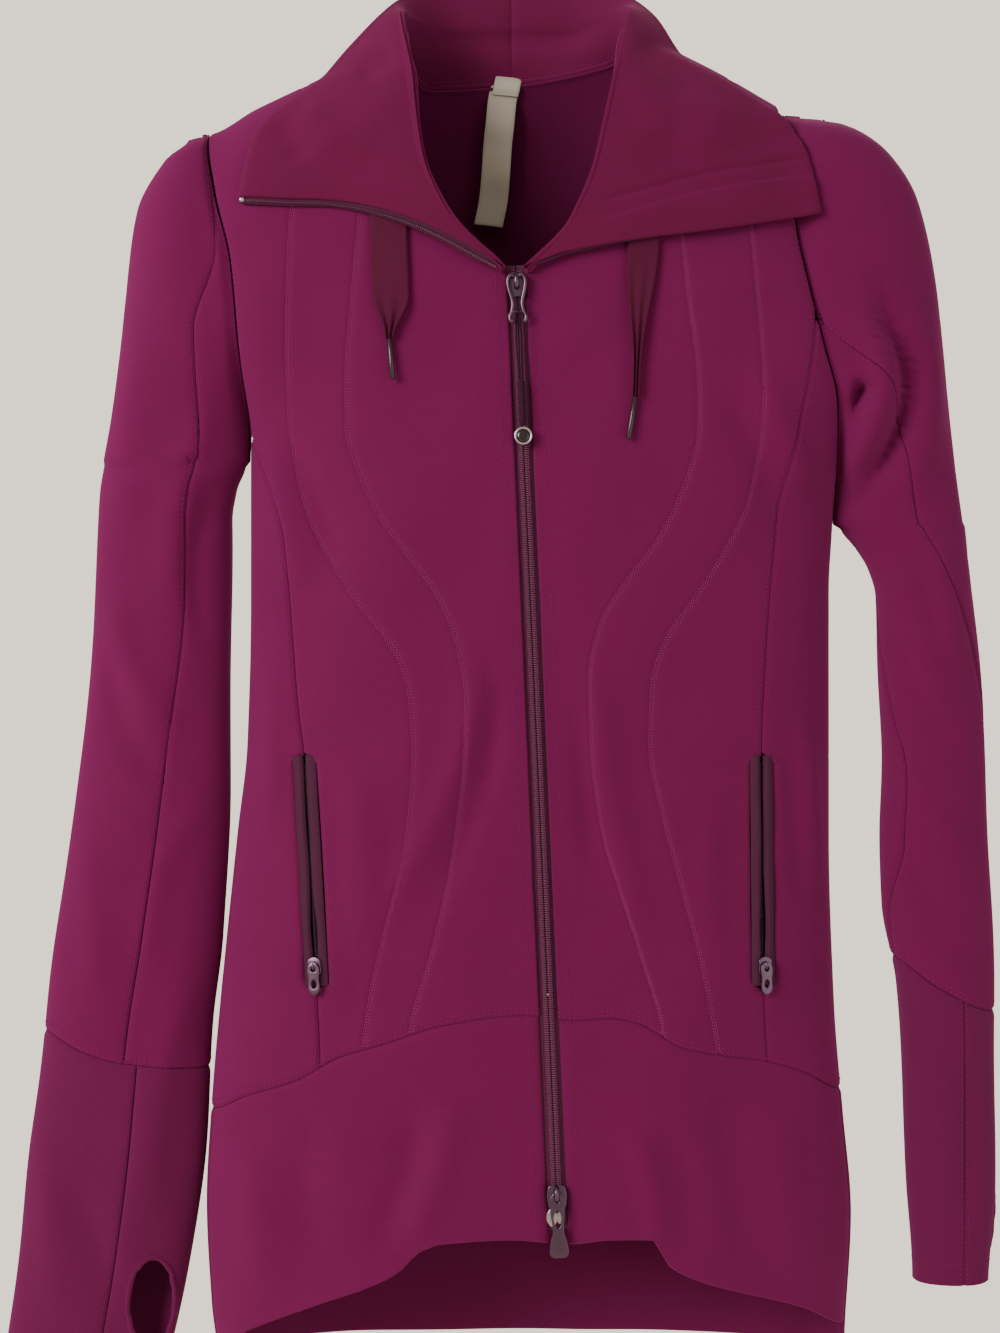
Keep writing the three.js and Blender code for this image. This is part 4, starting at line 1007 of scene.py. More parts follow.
def sleeve_point(hand):
    """The plain sleeve. turn is -180 degrees at the inner edge, -90 in front, 0 outside and 90 behind."""
    def at(turn, z):
        turn, z = np.broadcast_arrays(np.asarray(turn, float), np.asarray(z, float))
        turn = np.mod(turn + math.pi, 2 * math.pi) - math.pi
        inner = np.where(z > UNDERARM[hand], side[hand](z) + HAND[hand] * 0.6, sleeve_inner[hand](z))
        outer = sleeve_outer[hand](z)
        across = (1 + np.cos(turn)) / 2
        edge = armhole_depth(hand, z) * shoulder_share(side[hand](z), z)
        full = mix(SLEEVE_DEPTH, CUFF_DEPTH, smooth((UNDERARM[hand] - 100 - z) / 350))
        deep = np.minimum(full, np.abs(outer - inner) * 0.42)
        head = np.sqrt(1 - (1 - np.clip((SLEEVE_HEAD[hand][0] - z) / 46, 0, 1)) ** 2)
        belly = np.abs(rounded(np.sin(turn), SLEEVE_ROUNDNESS)) * np.maximum(4, deep - edge * 0.6) * head
        belly = belly * mix(1, smooth(across / 0.1), smooth((z - UNDERARM[hand]) / 40))
        top = mix(*SLEEVE_HEAD[hand],
                  np.clip((mix(inner, outer, across) - side[hand](-38.0)) * HAND[hand] / 14, 0, 1))
        closing = np.sqrt(1 - (1 - np.clip((top + 0.9 - z) / 12, 0, 1)) ** 2)
        depth = (edge * np.sqrt(1 - across ** 3) + belly) * closing
        return np.stack([mix(inner, outer, across), np.where(turn < 0, -depth, depth), z], -1)
    return at


def sleeve_middle(hand, z):
    inner = np.where(z > UNDERARM[hand], side[hand](z), sleeve_inner[hand](z))
    return (inner + sleeve_outer[hand](z)) / 2


def sleeve_cloth(hand, grid, edges, seams, seed):
    """Folds, swells and sewn edges on a stretch of sleeve, weaker behind and at the armhole."""
    x, z = grid[..., 0], grid[..., 2]
    out = outward_normals(grid, sleeve_middle(hand, z))
    front = smooth((2 - grid[..., 1]) / 10)
    armhole = smooth(np.abs(x - side[hand](z)) / 16) * (z > UNDERARM[hand])
    armhole = armhole + smooth((UNDERARM[hand] - z) / 20)
    rim = smooth((sleeve_outer[hand](z) - x) * HAND[hand] / 20)
    lift = fold_height(x, z, SLEEVE_FOLDS[hand]) * front * mix(0.35, 1, rim)
    lift = lift + ripple(x * 1.4 + grid[..., 1], z, seed) * 0.9
    lift = lift * np.clip(armhole, 0, 1) * smooth((-48 - z) / 40) - seam_dip(edges, seams)
    grid = grid + out * lift[..., None]
    return grid, outward_normals(grid, sleeve_middle(hand, z))


for hand, sign in HAND.items():
    surface = sleeve_point(hand)
    front_seam = smooth_line(FRONT_SEAM[hand])
    rear_seam = smooth_line(REAR_SEAM[hand])
    head_x, head_z = side[hand](-38.0), SLEEVE_HEAD[hand]

    def head_line(x, sign=sign, head_x=head_x, head_z=head_z):
        return mix(head_z[0], head_z[1], np.clip((x - head_x) * sign / 14, 0, 1))

    def seam_line(x, hand=hand):
        return cuff_seam[hand](x) + 0.5

    runs = [("outer", front_seam, rear_seam, ["sleeve_cap", "sleeve_outer"], 0),
            ("under", rear_seam, front_seam, ["sleeve_under"], 2 * math.pi)]
    for name, start, end, stands_for, wrap in runs:
        def limits(z, start=start, end=end, wrap=wrap):
            return start(z) + 0.012, end(z) + wrap - 0.012

        grid, edges = panel_grid(surface, limits, head_line, seam_line, (100, 530), -300)
        grid, out = sleeve_cloth(hand, grid, edges, (True,) * 4, 31 if hand == "left" else 37)
        points, faces, uv = shell(grid, CLOTH, -out)
        cloth = piece_from(f"sleeve_{name}_{hand}_cloth", points, faces, plum, None, uv)
        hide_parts(*[f"{node}_{hand}" for node in stands_for])
        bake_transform(cloth)
        sew(f"sleeve_{hand}", grid, out, edges, [(0, 1.5), (1, 1.5), (3, 1.6), (3, 4.2)])

# ------------------------------------------------------------------ cuffs
# Long double cuffs of a firmer knit, sewn to the sleeve and closed by one upright seam. A bound
# oval hole beside the inner edge takes the thumb.
HOLE_POINTS = 40
CUFF_START = {"right": -1.75, "left": -1.34}
THUMB_HOLE = {"right": (-2.38, -726, 14, 28), "left": (0.44, -677, 10, 22)}

for hand, sign in HAND.items():
    surface = sleeve_point(hand)
    start = CUFF_START[hand]

    def cuff_limits(z, start=start):
        return np.full(np.shape(z), start + 0.012), np.full(np.shape(z), start + 2 * math.pi - 0.012)

    grid, edges = panel_grid(surface, cuff_limits, lambda x, hand=hand: cuff_seam[hand](x) - 0.5,
                             lambda x, hand=hand: np.full(np.shape(x), SLEEVE_END[hand]), (220, 190), -660)
    grid, out = sleeve_cloth(hand, grid, edges, (True, True, True, False), 31 if hand == "left" else 37)
    points, faces, uv = shell(grid, CLOTH * 1.2, -out)
    cuff = piece_from(f"cuff_{hand}_cloth", points, faces, plum_rib, f"arm_{hand}", uv)
    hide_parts(f"cuff_{hand}")
    sew(f"cuff_{hand}", grid, out, edges, [(0, 1.6), (1, 1.6), (3, 12.0)])

    hole_turn, hole_z, half_wide, half_tall = THUMB_HOLE[hand]
    flat = grid.reshape(-1, 3)
    target = surface(hole_turn, hole_z)
    nearest = np.linalg.norm(flat - target, axis=1).argmin()
    centre, facing = flat[nearest], out.reshape(-1, 3)[nearest]
    up = np.array([0, 0, 1.0]) - facing * facing[2]
    up /= np.linalg.norm(up)
    aside = np.cross(up, facing)
    angles = np.linspace(0, 2 * math.pi, HOLE_POINTS, endpoint=False)
    oval = centre + np.outer(np.cos(angles) * half_wide, aside) + np.outer(np.sin(angles) * half_tall, up)
    cutter_mesh = bpy.data.meshes.new("hole_cutter")
    cutter_points = np.vstack([oval + facing * 14, oval - facing * 13]) * MM
    ring = np.arange(HOLE_POINTS)
    walls = np.stack([ring + HOLE_POINTS, np.roll(ring, -1) + HOLE_POINTS, np.roll(ring, -1), ring], -1)
    caps = [ring.tolist(), (ring[::-1] + HOLE_POINTS).tolist()]
    cutter_mesh.from_pydata(cutter_points.tolist(), [], caps + walls.tolist())
    cutter = bpy.data.objects.new("hole_cutter", cutter_mesh)
    bpy.context.collection.objects.link(cutter)
    cut = cuff.modifiers.new("thumb_hole", "BOOLEAN")
    cut.operation = "DIFFERENCE"
    cut.object = cutter
    cut.solver = "EXACT"
    bpy.context.view_layer.update()
    finished = bpy.data.meshes.new_from_object(cuff.evaluated_get(bpy.context.evaluated_depsgraph_get()))
    cuff.modifiers.clear()
    cuff.data = finished
    bpy.data.objects.remove(cutter)

    # The binding lies on the cloth round the hole's edge.
    gaps = np.linalg.norm(oval[:, None] - flat[None], axis=-1)
    bound = []
    for point in oval:
        offset = flat - point
        sideways = offset - np.outer(offset @ facing, facing)
        close = np.linalg.norm(sideways, axis=1) + (np.abs(offset @ facing) > 14) * 100
        cloth = flat[close.argmin()]
        bound.append(cloth * 0.35 + (point + facing * ((cloth - point) @ facing)) * 0.65)
    bound = np.array(bound) - facing * 0.7
    points, faces = [], []
    sides = 8
    for k, place in enumerate(bound):
        ahead = bound[(k + 1) % HOLE_POINTS] - bound[k - 1]
        ahead /= np.linalg.norm(ahead)
        inside = np.cross(ahead, facing)
        inside /= np.linalg.norm(inside)
        for m in range(sides):
            angle = 2 * math.pi * m / sides
            points.append(place + inside * 1.7 * math.cos(angle) + facing * 1.45 * math.sin(angle))
            after = (k + 1) % HOLE_POINTS * sides
            faces.append((k * sides + m, k * sides + (m + 1) % sides, after + (m + 1) % sides, after + m))
    points = np.array(points)
    faces = np.array(faces)
    if volume_of(points, faces) < 0:
        faces = faces[:, ::-1]
    binding = piece_from(f"thumb_binding_{hand}", points, faces, plum_rib, f"arm_{hand}", points[:, [0, 2]])

# ------------------------------------------------------------------ funnel collar
# Two layers of knit in two halves, joined behind the neck. Each half stands up behind the neck and
# is folded open in front, where it lies over the chest and shoulder as a wide leaf.
COLLAR = {
    "right": [
        ((-4, -48, -127), (-7, -58, -123), (-156, -41, -82)),
        ((-32, -48, -100), (-30, -59, -101), (-153, -38, -66)),
        ((-47, -48, -84), (-41, -59, -84), (-150, -36, -52)),
        ((-58, -47, -65), (-49, -57, -65), (-146, -33, -40)),
        ((-62, -44, -42), (-53, -54, -42), (-136, -27, -29)),
        ((-66, -36, -12), (-56, -47, -12), (-115, -18, -12)),
        ((-70, -20, 10), (-60, -34, 10), (-96, -8, 12)), ((-71, 0, 19), (-63, -12, 32), (-76, 2, 36)),
        ((-62, 22, 9), (-58, 18, 34), (-62, 26, 52)), ((-36, 37, -1), (-37, 38, 28), (-38, 44, 60)),
        ((0.3, 41, 1), (0.3, 43, 30), (0.3, 50, 62)),
    ],
    "left": [
        ((8, -48, -127), (9, -58, -124), (176, -43, -91)),
        ((29, -48, -104), (30, -59, -104), (174, -41, -80)),
        ((40, -48, -88), (39, -59, -88), (171, -38, -66)),
        ((47, -47, -68), (47, -57, -68), (165, -34, -48)),
        ((53, -44, -42), (53, -54, -42), (154, -28, -31)),
        ((60, -36, -12), (59, -47, -12), (132, -18, -17)), ((65, -20, 12), (64, -34, 12), (104, -8, 4)),
        ((70, 0, 22), (68, -12, 34), (84, 2, 34)), ((62, 22, 16), (62, 18, 38), (64, 26, 54)),
        ((36, 37, 8), (37, 38, 30), (40, 44, 60)), ((-0.3, 41, 1), (-0.3, 43, 30), (-0.3, 50, 62)),
    ],
}
LEAF_FRONT_EDGE = {
    "right": [(-6, -124), (-24, -109), (-54, -93), (-96, -86), (-131, -84), (-156, -82)],
    "left": [(10, -124), (42, -108), (56, -108), (84, -106), (112, -103), (158, -95), (176, -91)],
}
FACING = {"right": None, "left": [(45, -99), (105, -81.5), (167, -69)]}
LEAF_FOLDS = {
    "right": [([(-140, -38), (-128, -50), (-118, -66)], 9, -3.0),
              ([(-122, -26), (-108, -44), (-96, -60)], 11, 2.2),
              ([(-66, 6), (-80, -6), (-92, -12)], 9, -2.6),
              ([(-60, -30), (-80, -40), (-100, -64)], 12, 1.6)],
    "left": [([(70, 16), (92, -6), (106, -30)], 11, -3.0), ([(64, -10), (80, -34), (84, -60)], 10, 2.0),
             ([(120, -22), (112, -44), (96, -60)], 11, 2.2),
             ([(152, -40), (140, -52), (120, -62)], 9, -1.6)],
}
LEAF_BEND = {"right": ((-0.064, -0.05, -0.048), (-0.104, -0.05, -0.078)),
             "left": ((0.070, -0.05, -0.053), (0.116, -0.05, -0.087))}
COLLAR_THICKNESS = 2.4
LEAF_EDGE = {}
NECK_SEAM = {}
LEAF_REST = 4.6


def front_y(x, z):
    """How far forward the chest and the sleeve's front are at a point of the front view."""
    result = front_point(turn_at(x, z), z)[..., 1]
    for hand, sign in HAND.items():
        past = (x - side[hand](z)) * sign
        reach = np.abs(sleeve_outer[hand](z) - side[hand](z))
        on_sleeve = sleeve_point(hand)(-np.arccos(np.clip(2 * past / reach - 1, -1, 1)), z)[..., 1]
        result = np.where((past > 0) & (z > UNDERARM[hand]), np.minimum(result, on_sleeve), result)
    return result


def rail(points, count):
    """A smooth line through stations, evenly spaced from station to station."""
    points = np.array(points, float)
    padded = np.vstack([2 * points[0] - points[1], points, 2 * points[-1] - points[-2]])
    place = np.linspace(0, len(points) - 1, count)
    k = np.minimum(place.astype(int), len(points) - 2)
    t = (place - k)[:, None]
    a, b, c, d = (padded[k + shift] for shift in range(4))
    return 0.5 * (2 * b + (c - a) * t + (2 * a - 5 * b + 4 * c - d) * t ** 2
                  + (3 * b - a - 3 * c + d) * t ** 3)


def collar_grid(hand):
    """Rows run round the neck from zip to back, columns from the neck seam over the roll to the rim."""
    rows, columns = 170, 64
    seam, roll, rim = (rail([station[k] for station in COLLAR[hand]], rows) for k in range(3))
    behind = smooth((seam[:, 1] - 2) / 16)
    seam[:, 2] = mix(seam[:, 2], back_neck(seam[:, 0]) + 0.4, behind)
    back_y = back_point(math.pi - turn_at(seam[:, 0], seam[:, 2]), seam[:, 2])[:, 1]
    seam[:, 1] = mix(seam[:, 1], back_y, behind)
    grid = np.empty((rows, columns, 3))
    for row in range(rows):
        span = rim[row] - roll[row]
        bulge = np.array([0, -2.5, 1.5]) * smooth(np.linalg.norm(span) / 60)
        stations = [seam[row], mix(seam[row], roll[row], 0.55) + np.array([0, -1.5, 0]), roll[row],
                    roll[row] + span * 0.22 + bulge, roll[row] + span * 0.6 + bulge, rim[row]]
        grid[row] = rail(stations, columns)
    share = np.linspace(0, 1, columns)
    front = through(LEAF_FRONT_EDGE[hand], columns)
    lying = smooth((share - 0.3) / 0.5)
    start = grid[0][:, [0, 2]].copy()
    edge_x = np.interp(share, [0, 0.35, 1], [0, 0.02, 1])
    target = np.stack([np.interp(edge_x, np.linspace(0, 1, columns), front[:, k]) for k in range(2)], -1)
    shift = (target - start) * lying[:, None]
    fade = (1 - smooth(np.linspace(0, 1, rows) / 0.22))[:, None]
    grid[..., 0] += shift[None, :, 0] * fade
    grid[..., 2] += shift[None, :, 1] * fade
    x, z = grid[..., 0], grid[..., 2]
    floor_y = front_y(x, np.minimum(z, shoulder(x))) - LEAF_REST
    lying = smooth((share - 0.36) / 0.2)[None, :] * smooth((shoulder(x) + 6 - z) / 14)
    grid[..., 1] = mix(grid[..., 1], np.minimum(grid[..., 1], floor_y), lying)
    return grid, share


for hand, sign in HAND.items():
    grid, share = collar_grid(hand)
    normal = grid_normals(grid)
    if normal[10:60, 30:, 1].mean() > 0:
        normal = -normal
    x, z = grid[..., 0], grid[..., 2]
    lying = smooth((share - 0.4) / 0.2)[None, :]
    lift = (fold_height(x, z, LEAF_FOLDS[hand]) + ripple(x, z, 51) * 0.55) * lying * smooth((40 - z) / 20)
    if FACING[hand]:
        line_x, line_z = np.array(FACING[hand], float).T
        below = np.interp(x, line_x, line_z) - z
        lift = lift + 1.3 * smooth(below / 2.4) * lying * smooth((x * sign - 40) / 20)
        lift = lift - 1.0 * np.exp(-((below + 9.5) / 1.6) ** 2) * lying * smooth((x * sign - 44) / 20)
    row_gap = np.linalg.norm(np.diff(grid, axis=0), axis=-1).sum(0)[None, :]
    along = np.linspace(0, 1, grid.shape[0])[:, None]
    lift = lift - 0.7 * np.exp(-((1 - along) * row_gap / 1.8) ** 2)
    grid = grid + normal * lift[..., None]
    normal = grid_normals(grid)
    if normal[10:60, 30:, 1].mean() > 0:
        normal = -normal
    points, faces, uv = shell(grid, COLLAR_THICKNESS, -normal, 0.5)
    collar = piece_from(f"collar_{hand}_cloth", points, faces, plum_collar, None, uv)
    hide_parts(f"collar_leaf_{hand}", *(["collar_back"] if hand == "right" else []))
    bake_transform(collar)
    lower = grid + normal * 0.15
    THREADS[f"collar_{hand}"] = [lower[100:, -4], lower[100:, 3]]
    LEAF_EDGE[hand] = grid[0, 22:], normal[0, 22:]
    NECK_SEAM[hand] = grid[6:, 0] - normal[6:, 0] * 1.6 + np.array([0, 0, 0.6])

# ------------------------------------------------------------------ sewing thread
# Polyester thread a shade paler than the cloth: dense covering stitches along the four contour
# seams, and rows of plain stitches beside the other seams and along the zip.
thread, _, thread_shader = new_material("thread", linear(136, 34, 96), 0.7)
thread_shader.inputs["Specular IOR Level"].default_value = 0.2
pale_thread, _, pale_shader = new_material("covering_thread", linear(160, 48, 118), 0.7)
pale_shader.inputs["Specular IOR Level"].default_value = 0.2


def make_beads():
    """Geometry Nodes: small rounded bodies, long along a line, set at an even spacing on it."""
    tree = bpy.data.node_groups.new("beads_on_a_line", "GeometryNodeTree")
    tree.interface.new_socket(name="Line", in_out="INPUT", socket_type="NodeSocketGeometry")
    spacing = tree.interface.new_socket(name="Spacing", in_out="INPUT", socket_type="NodeSocketFloat")
    size = tree.interface.new_socket(name="Bead size", in_out="INPUT", socket_type="NodeSocketVector")
    finish = tree.interface.new_socket(name="Finish", in_out="INPUT", socket_type="NodeSocketMaterial")
    tree.interface.new_socket(name="Beads", in_out="OUTPUT", socket_type="NodeSocketGeometry")
    given = tree.nodes.new("NodeGroupInput")
    curve = tree.nodes.new("GeometryNodeMeshToCurve")
    even = tree.nodes.new("GeometryNodeResampleCurve")
    even.mode = "LENGTH"
    bead = tree.nodes.new("GeometryNodeMeshUVSphere")
    bead.inputs["Segments"].default_value = 6
    bead.inputs["Rings"].default_value = 4
    bead.inputs["Radius"].default_value = 0.5
    along = tree.nodes.new("GeometryNodeInputTangent")
    turned = tree.nodes.new("FunctionNodeAlignRotationToVector")
    turned.axis = "X"
    place = tree.nodes.new("GeometryNodeInstanceOnPoints")
    real = tree.nodes.new("GeometryNodeRealizeInstances")
    smooth_faces = tree.nodes.new("GeometryNodeSetShadeSmooth")
    painted = tree.nodes.new("GeometryNodeSetMaterial")
    result = tree.nodes.new("NodeGroupOutput")
    for source, target in ((given.outputs["Line"], curve.inputs["Mesh"]),
                           (curve.outputs[0], even.inputs["Curve"]),
                           (given.outputs["Spacing"], even.inputs["Length"]),
                           (even.outputs[0], place.inputs["Points"]),
                           (bead.outputs["Mesh"], place.inputs["Instance"]),
                           (along.outputs[0], turned.inputs["Vector"]),
                           (turned.outputs[0], place.inputs["Rotation"]), (given.outputs["Bead size"],
                                                                           place.inputs["Scale"]),
                           (place.outputs[0], smooth_faces.inputs["Geometry"]),
                           (smooth_faces.outputs[0], real.inputs["Geometry"]),
                           (real.outputs[0], painted.inputs["Geometry"]), (given.outputs["Finish"],
                                                                           painted.inputs["Material"]),
                           (painted.outputs[0], result.inputs["Beads"])):
        tree.links.new(source, target)
    return tree, {"spacing": spacing.identifier, "size": size.identifier, "finish": finish.identifier}


beads, bead_inputs = make_beads()


def beaded(name, lines, spacing, size, finish, turn=None, origin=None):
    """Beads along lines in millimetres, as one plain mesh, in a frame of its own where one is given."""
    points, edges_of = [], []
    for line in lines:
        start = len(points)
        points += (np.asarray(line) * MM).tolist()
        edges_of += [(start + k, start + k + 1) for k in range(len(line) - 1)]
    mesh = bpy.data.meshes.new(f"{name}_lines")
    mesh.from_pydata(points, edges_of, [])
    holder = bpy.data.objects.new(name, mesh)
    bpy.context.collection.objects.link(holder)
    modifier = holder.modifiers.new("beads", "NODES")
    modifier.node_group = beads
    modifier[bead_inputs["spacing"]] = spacing * MM
    modifier[bead_inputs["size"]] = [value * MM for value in size]
    modifier[bead_inputs["finish"]] = finish
    bpy.context.view_layer.update()
    plain = bpy.data.meshes.new_from_object(holder.evaluated_get(bpy.context.evaluated_depsgraph_get()))
    holder.modifiers.clear()
    holder.data = plain
    if turn is not None:
        place = np.empty(len(plain.vertices) * 3)
        plain.vertices.foreach_get("co", place)
        plain.vertices.foreach_set("co",
                                   (place.reshape(-1, 3) @ np.array(turn) + np.array(origin) * MM).ravel())
        plain.update()
    return holder


def without_tails(lines):
    return [line for line in lines if len(line) > 3]


body_rows = without_tails(THREADS.pop("body"))
body_stitches = beaded("body_stitches", body_rows, 3.0, (2.3, 0.42, 0.42), thread)
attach(body_stitches, "root")
for hand in HAND:
    zigzags = []
    sides_of = THREADS.pop(f"flat_{hand}")
    for near_side, far_side in (sides_of[:2], sides_of[2:]):
        count = int(np.linalg.norm(np.diff(near_side, axis=0), axis=1).sum() / 0.85)
        line = through(near_side[::3], count)
        line[1::2] = through(far_side[::3], count)[1::2]
        zigzags.append(line)
    covering = beaded(f"contour_stitches_{hand}", zigzags, 1.35, (1.45, 0.5, 0.5), pale_thread)
    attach(covering, "root")
    for group, bend in (("sleeve", SLEEVE_BEND), ("collar", LEAF_BEND), ("cuff", None)):
        rows = beaded(f"{group}_stitches_{hand}", THREADS.pop(f"{group}_{hand}"), 3.0, (2.3, 0.42, 0.42),
                      thread)
        if bend:
            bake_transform(rows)
        else:
            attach(rows, f"arm_{hand}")

# ------------------------------------------------------------------ main zip
# A two-way coil zip: woven tapes behind the front edges, two rows of interlocked nylon coils, a
# plated slider at each end of the chain, and the box that holds the chain's lower ends.
CHAIN_END = -534
coil, _, coil_shader = new_material("nylon_coil", linear(106, 46, 82), 0.4)
coil_shader.inputs["Specular IOR Level"].default_value = 0.6
pale_metal, _, _ = new_material("pale_metal", linear(214, 200, 206), 0.28, 1.0)


def twill_material(name, colour):
    """Zip tape on a CAD node: fine slanted ribs in object space, with painted shade that darkens the colour
    between them.
    """
    material, tree, shader = new_material(name, colour, 0.8)
    place = tree.nodes.new("ShaderNodeTexCoord")
    ribs = tree.nodes.new("ShaderNodeTexWave")
    ribs.bands_direction = "DIAGONAL"
    ribs.inputs["Scale"].default_value = 420.0
    ribs.inputs["Distortion"].default_value = 0.4
    tree.links.new(place.outputs["Object"], ribs.inputs["Vector"])
    # Painted shade: the colour falls to 0.7 of itself in the troughs between the ribs.
    tint = tree.nodes.new("ShaderNodeMix")
    tint.data_type = "RGBA"
    tint.inputs[6].default_value = [share * 0.7 for share in colour[:3]] + [1]
    tint.inputs[7].default_value = colour
    tree.links.new(ribs.outputs["Fac"], tint.inputs[0])
    tree.links.new(tint.outputs[2], shader.inputs["Base Color"])
    bump = tree.nodes.new("ShaderNodeBump")
    bump.inputs["Distance"].default_value = 0.1 * MM
    tree.links.new(ribs.outputs["Fac"], bump.inputs["Height"])
    tree.links.new(bump.outputs[0], shader.inputs["Normal"])
    return material


tape_twill = twill_material("zip_tape_twill", linear(100, 36, 74))
# The pocket coils are near-black plum: painted shade for the dark slit between the pocket tapes.
shaded_pocket_coil, _, _ = new_material("pocket_coil_painted_shade", linear(46, 14, 34), 0.5)
tape_weave_cloth = woven_material("pocket_tape_weave", linear(88, 38, 68), 0.78, 1400.0, 0.1)


def repaint(node, material):
    """Gives a CAD node a finish of its own."""
    cad = bpy.data.objects[node]
    for slot in cad.material_slots:
        slot.material = material


def frame_of(top, bottom, outward):
    """A zip's own axes: X across, Y inwards, Z up the zip, as rows, and its origin."""
    up = (np.array(top, float) - bottom) / np.linalg.norm(np.array(top, float) - bottom)
    across = np.cross(-np.array(outward, float), up)
    across /= np.linalg.norm(across)
    return np.array([across, np.cross(up, across), up]), np.array(top, float)


def plate(name, outline, y_front, y_back, frame, body, material, windows=(), bevel=0.35):
    """A flat plate with rounded edges, from an outline in a zip's XZ plane and any windows in it."""
    turn, origin = frame
    drawing = bpy.data.curves.new(name, "CURVE")
    drawing.dimensions = "2D"
    drawing.fill_mode = "BOTH"
    drawing.extrude = max((y_back - y_front) / 2 - bevel, 0.05)
    drawing.bevel_depth = bevel
    drawing.bevel_resolution = 2
    for ring in (outline, *windows):
        spline = drawing.splines.new("BEZIER")
        spline.bezier_points.add(len(ring) - 1)
        spline.use_cyclic_u = True
        spline.resolution_u = 5
        for point, (x, z) in zip(spline.bezier_points, ring):
            point.co = (x, z, 0)
            point.handle_left_type = point.handle_right_type = "AUTO"
    holder = bpy.data.objects.new(name, drawing)
    bpy.context.collection.objects.link(holder)
    bpy.context.view_layer.update()
    mesh = bpy.data.meshes.new_from_object(holder.evaluated_get(bpy.context.evaluated_depsgraph_get()))
    bpy.data.objects.remove(holder)
    flat = np.empty(len(mesh.vertices) * 3)
    mesh.vertices.foreach_get("co", flat)
    flat = flat.reshape(-1, 3)
    local = np.stack([flat[:, 0], (y_front + y_back) / 2 - flat[:, 2], flat[:, 1]], -1)
    faces = [tuple(face.vertices) for face in mesh.polygons]
    merged, back = np.unique(local.round(4), axis=0, return_inverse=True)
    back = back.reshape(-1)
    faces = [tuple(dict.fromkeys(int(back[v]) for v in face)) for face in faces]
    faces = [face for face in faces if len(face) > 2]
    piece = piece_from(name, merged @ turn + origin, faces, material, body)
    return piece


def tube(name, route, radius, frame, body, material, sides=10):
    """A round bar along a smooth route in a zip's own frame, closed at both ends."""
    turn, origin = frame
    route = np.array(route, float)
    ahead = np.gradient(route, axis=0)
    ahead /= np.linalg.norm(ahead, axis=1, keepdims=True)
    helper = np.array([1.0, 0.0, 0.0]) if abs(ahead[0][0]) < 0.8 else np.array([0.0, 0.0, 1.0])
    rings = []
    for k, place in enumerate(route):
        helper = helper - ahead[k] * (helper @ ahead[k])
        helper /= np.linalg.norm(helper)
        other = np.cross(ahead[k], helper)
        swell = radius * (0.55 if k in (0, len(route) - 1) else 1.0)
        angles = np.linspace(0, 2 * math.pi, sides, endpoint=False)
        rings.append(place + swell * (np.outer(np.cos(angles), helper) + np.outer(np.sin(angles), other)))
    points = np.vstack(rings)
    faces = []
    for k in range(len(route) - 1):
        for m in range(sides):
            a, b = k * sides + m, k * sides + (m + 1) % sides
            faces.append((a, b, b + sides, a + sides))
    faces.append(tuple(range(sides))[::-1])
    faces.append(tuple(range((len(route) - 1) * sides, len(route) * sides)))
    lengths = np.concatenate([[0], np.cumsum(np.linalg.norm(np.diff(route, axis=0), axis=1))])
    uv = np.stack([np.tile(np.linspace(0, 2 * math.pi * radius, sides, endpoint=False), len(route)),
                   np.repeat(lengths, sides)], -1)
    return piece_from(name, points @ turn + origin, faces, material, body, uv)


zip_top_point = (ZIP_TOP[0], -front_depth(ZIP_TOP[1]), ZIP_TOP[1])
zip_bottom_point = (ZIP_BOTTOM[0], -front_depth(ZIP_BOTTOM[1]), ZIP_BOTTOM[1])
main_zip = frame_of(zip_top_point, zip_bottom_point, (0, -1, 0))

for hand, sign in HAND.items():
    repaint(f"zip_tape_{hand}", tape_twill)
    start = -0.3 - (0.64 if hand == "left" else 0.0)
    coil_line = [(sign * 1.45, -0.2, start), (sign * 1.45, -0.2, CHAIN_END)]
    coils = beaded(f"zip_coil_{hand}", [coil_line], 1.28, (1.12, 1.9, 3.1), coil, *main_zip)
    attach(coils, "root")
    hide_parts(f"zip_chain_{hand}")
    sewn = beaded(f"zip_coil_stitches_{hand}", [[(sign * 2.5, -1.0, -1), (sign * 2.5, -1.0, CHAIN_END)],
                                                [(sign * 4.1, 2.2, -1), (sign * 4.1, 2.2, CHAIN_END)]],
                  2.2, (1.9, 0.5, 0.5), thread, *main_zip)
    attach(sewn, "root")

SLIDER_FACE = [(-3.8, -3.0), (0, -2.6), (3.8, -3.0), (5.0, -6.2), (4.9, -11), (3.6, -14.9), (0, -15.1),
               (-3.6, -14.9), (-4.9, -11), (-5.0, -6.2)]
BOTTOM_PULL = [(-2.1, 1), (2.1, 1), (3.6, -8), (2.8, -20), (4.5, -27), (4.2, -33.4), (0, -34.2),
               (-4.2, -33.4), (-4.5, -27), (-2.8, -20), (-3.6, -8)]


def slider(name, node, body, shift, frame, scale=1.0):
    """A slider body: its rounded face, two side flanges and the lug for the pull."""
    face = plate(f"{name}_face", [(x * scale, shift + (z + 3) * scale - 3) for x, z in SLIDER_FACE], -3.2,
                 -1.7, frame, body, plated_metal, bevel=0.55)
    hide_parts(node)
    for end in (-1, 1):
        rail_line = [(end * 4.4 * scale, -0.6, shift - 4.2), (end * 4.65 * scale, -0.5, shift - 8),
                     (end * 4.2 * scale, -0.6, shift - 3 - 11 * scale)]
        flange = tube(f"{name}_flange_{'left' if end > 0 else 'right'}", rail(rail_line, 12), 0.85, frame,
                      body, plated_metal)
    lug_line = [(0, -2.6, shift - 3.6), (0, -4.6, shift - 4.0), (0, -5.9, shift - 5.6),
                (0, -5.9, shift - 8.2), (0, -4.8, shift - 9.8), (0, -2.6, shift - 10.4)]
    lug = tube(f"{name}_lug", rail(lug_line, 24), 1.6, frame, body, plated_metal, 14)


